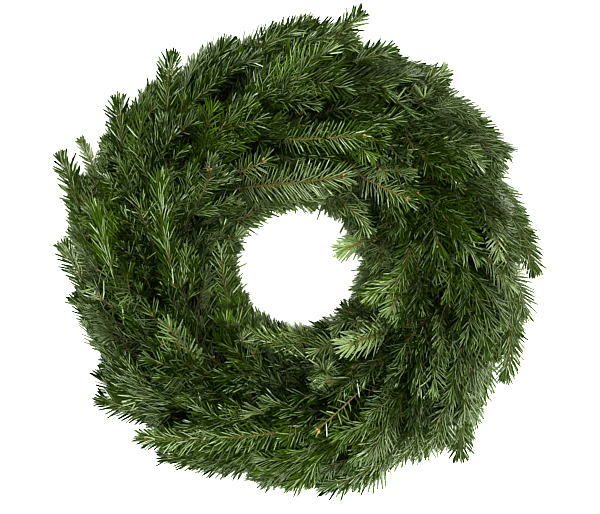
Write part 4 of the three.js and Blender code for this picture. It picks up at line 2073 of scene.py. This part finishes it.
    def twine(self, skin: Skin) -> None:
        """Adds the twine: one helix round the straw, closed on itself.

        Its middle line goes once round the section for every windings-th of the wreath.
        """
        per_turn, sides, twist = 26, 4, 0.16
        steps = self.windings * per_turn
        k = np.arange(steps) / steps
        turn = k * math.tau
        round_ = k * self.windings * math.tau
        round_ = (round_ + math.pi / 2) % math.tau - math.pi / 2
        round_ = np.where(round_ < self.seam, round_ + math.tau, round_)
        line = self.surface(turn, round_, np.full(steps, self.twine_lift))
        ahead = unit(np.roll(line, -1, axis=0) - np.roll(line, 1, axis=0))
        away = square_to(line - self.ring.point(turn, round_, np.zeros(steps)), ahead)
        spoke = spokes(away, np.cross(ahead, away), sides, math.pi / 4)
        places = line[:, None] + spoke * self.twine_half
        places[..., 2] = np.maximum(places[..., 2], self.skirt)
        quads, at = wall(steps, sides, closed=True)
        full = self.windings * twist
        drawn = np.stack([at[..., 1] / sides, at[..., 0] / steps * full], axis=-1)
        laid = [Cells(*TWINE_BLOCK, 1).lay(0, 1, drawn / np.array([1.0, full]))]
        skin.add(places.reshape(1, -1, 3), np.full((1, 3), 0.5), [quads], [drawn], laid, 1)

    def build(self, finishes: Finishes) -> bpy.types.Object:
        """Makes the piece and puts it in the CAD ring's place."""
        skin = Skin()
        self.body(skin)
        self.stalks(skin, np.random.default_rng(41))
        self.twine(skin)
        piece = skin.build("straw_ring_straw", [finishes.straw, finishes.twine])
        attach(piece, "root")
        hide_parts("straw_ring")
        LOG.info("%s: %d faces", piece.name, len(piece.data.polygons))
        return piece


# ---- the studio


@dataclass(frozen=True)
class SoftBox:
    """A square soft light that looks at the wreath; power in watts, size in metres."""

    name: str
    place: Triple
    power: float
    tone: Triple
    size: float = 1.0

    def hang(self) -> bpy.types.Object:
        """Adds the light, turned so that it looks at the origin."""
        data = bpy.data.lights.new(self.name, "AREA")
        data.shape = "SQUARE"
        data.size = self.size
        data.energy = self.power
        data.color = self.tone
        lamp = linked(self.name, data)
        lamp.location = self.place
        aim = -np.array(self.place) / np.linalg.norm(self.place)
        lamp.rotation_euler = (math.acos(-aim[2]), 0.0, math.atan2(-aim[0], aim[1]))
        return lamp


@dataclass(frozen=True)
class Studio:
    """Floor, camera and soft light, for a picture taken from straight above.

    Power is in watts, the spot's angle in degrees and the sensor's width in millimetres.

    Attributes:
        scale: metres across one pixel of the picture at the needles' height.
        frame: the picture's size in pixels.
        height: how far above the needles the camera hangs.
        needles: how high the needles lie that the scale is true for.
        middle: where the picture's middle lies on the wreath.
        sharpness: how strongly the picture is sharpened, from 0 to 1.
        depth: how many times its colours are deepened.
    """

    scale: float = 1.05 * MM
    frame: tuple[int, int] = (600, 514)
    height: float = 2.4
    needles: float = 50 * MM
    middle: tuple[float, float] = (2.6 * MM, -3.2 * MM)
    sensor: float = 36.0
    boxes: tuple[SoftBox, ...] = (
        SoftBox("left_box", (-2.0, 0.9, 1.5), 76.0, (1.0, 0.99, 0.97)),
        SoftBox("right_box", (2.0, 0.5, 1.4), 62.0, (0.98, 0.99, 1.0)),
        SoftBox("near_box", (0.1, -2.1, 1.6), 50.0, (1.0, 1.0, 0.99)),
        SoftBox("top_box", (0.1, -0.2, 2.9), 133.0, (1.0, 1.0, 1.0)),
    )
    spot_power: float = 150.0
    spot_place: Triple = (2 * MM, -14 * MM, 2.2)
    spot_angle: float = 3.6
    spot_size: float = 0.02
    spot_blend: float = 0.5
    room_tone: Triple = (0.96, 0.98, 1.0)
    room_light: float = 0.05
    sharpness: float = 0.045
    depth: float = 1.05
    gamma: float = 0.66
    exposure: float = 0.25

    def camera(self) -> bpy.types.Object:
        """Hangs the camera over the wreath: its lens takes in exactly the frame's width."""
        data = bpy.data.cameras.new("over_camera")
        data.sensor_width = self.sensor
        data.lens = self.sensor * self.height / (self.frame[0] * self.scale)
        data.clip_end = 50.0
        camera = linked("over_camera", data)
        camera.location = (*self.middle, self.height + self.needles)
        bpy.context.scene.camera = camera
        return camera

    def floor(self) -> bpy.types.Object:
        """Lays the pale floor just under the wreath."""
        half, under = 6.0, 0.4 * MM
        corners = [(-half, -half), (half, -half), (half, half), (-half, half)]
        mesh = bpy.data.meshes.new("studio_floor")
        mesh.from_pydata([(x, y, -under) for x, y in corners], [], [(0, 1, 2, 3)])
        mesh.materials.append(FloorFinish().material())
        floor = linked("studio_floor", mesh)
        return floor

    def spot(self) -> bpy.types.Object:
        """Adds a narrow spot from above that clears the shadow in the wreath's hole."""
        data = bpy.data.lights.new("hole_spot", "SPOT")
        data.energy = self.spot_power
        data.shadow_soft_size = self.spot_size
        data.spot_size = math.radians(self.spot_angle)
        data.spot_blend = self.spot_blend
        lamp = linked("hole_spot", data)
        lamp.location = self.spot_place
        return lamp

    def room(self) -> None:
        """Sets the room's own light."""
        world = bpy.data.worlds.new("studio_room")
        world.use_nodes = True
        back = world.node_tree.nodes["Background"]
        back.inputs["Color"].default_value = (*self.room_tone, 1.0)
        back.inputs["Strength"].default_value = self.room_light
        bpy.context.scene.world = world

    def develop(self) -> None:
        """Deepens the picture's colours and sharpens it a little, as a camera does."""
        scene = bpy.context.scene
        scene.use_nodes = True
        tree = scene.node_tree
        tree.nodes.clear()
        taken, deep, sharp, shown = (
            tree.nodes.new(f"CompositorNode{kind}")
            for kind in ("RLayers", "HueSat", "Filter", "Composite")
        )
        deep.inputs["Saturation"].default_value = self.depth
        sharp.filter_type = "SHARPEN"
        sharp.inputs["Fac"].default_value = self.sharpness
        for source, target in ((taken, deep), (deep, sharp), (sharp, shown)):
            tree.links.new(source.outputs["Image"], target.inputs["Image"])
        scene.view_settings.view_transform = "Standard"
        scene.view_settings.look = "None"
        scene.view_settings.gamma = self.gamma
        scene.view_settings.exposure = self.exposure

    def build(self) -> None:
        """Sets the whole studio up."""
        self.camera()
        self.floor()
        for box in self.boxes:
            box.hang()
        self.spot()
        self.room()
        self.develop()


# ---- the wreath


@dataclass
class Wreath:
    frame: dict

    def sprigs(self, ring: RingFrame) -> tuple[list[Sprig], Thicket]:
        """Grows all sprigs inside one clearance.

        Args:
            ring: the ring frame.

        Returns:
            The sprigs in the order of their names, and how thick they stand.
        """
        nodes = self.frame["nodes"]
        names = [name for name in sorted(nodes) if name.startswith("sprig_")]
        spines = {name: Spine.read(nodes[name], ring) for name in names}
        outer = [name for name in names if name.endswith(Place.OUTER.value)]
        tips = [spines[name].point_at(SHORTENED.get(name, 0.0)) for name in outer]
        crests = [led.crest(spines[name]) for name, rows in LEADERS.items() for led in rows]
        room = Clearance.round_tips(ring, tips, np.concatenate(crests))
        thicket, sprigs = Thicket(ring), []
        for name in names:
            _, row, place = name.split("_")
            sprigs.append(Sprig(name, int(row), Place(place), spines[name], room))
            thicket.fill(sprigs[-1].needles.base)
        return sprigs, thicket

    def build(self) -> None:
        """Builds the straw ring, the sprigs and the wire's finish, in that order."""
        nodes = self.frame["nodes"]
        finishes = Finishes.made()
        ring = ring_from_straw(nodes["straw_ring"])
        StrawRing(ring).build(finishes)
        sprigs, thicket = self.sprigs(ring)
        for sprig in sprigs:
            sprig.build(finishes, thicket)
        for slot in nodes["binding_wire"].material_slots:
            slot.material = finishes.wire
        LOG.info("binding_wire keeps its CAD shape")


def note_sizes() -> None:
    """Defines a helper that gives a box's corners as plain numbers; nothing else is done."""

    def plain(bounds: object) -> list:
        """A box's corners as plain numbers."""
        return [[float(x) for x in corner] for corner in bounds]


def main() -> None:
    """Loads the frame and builds everything round it."""
    logging.basicConfig(level=logging.INFO, format="%(name)s: %(message)s")
    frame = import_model()
    Studio().build()
    Wreath(frame).build()
    note_sizes()


if __name__ == "__main__":
    main()
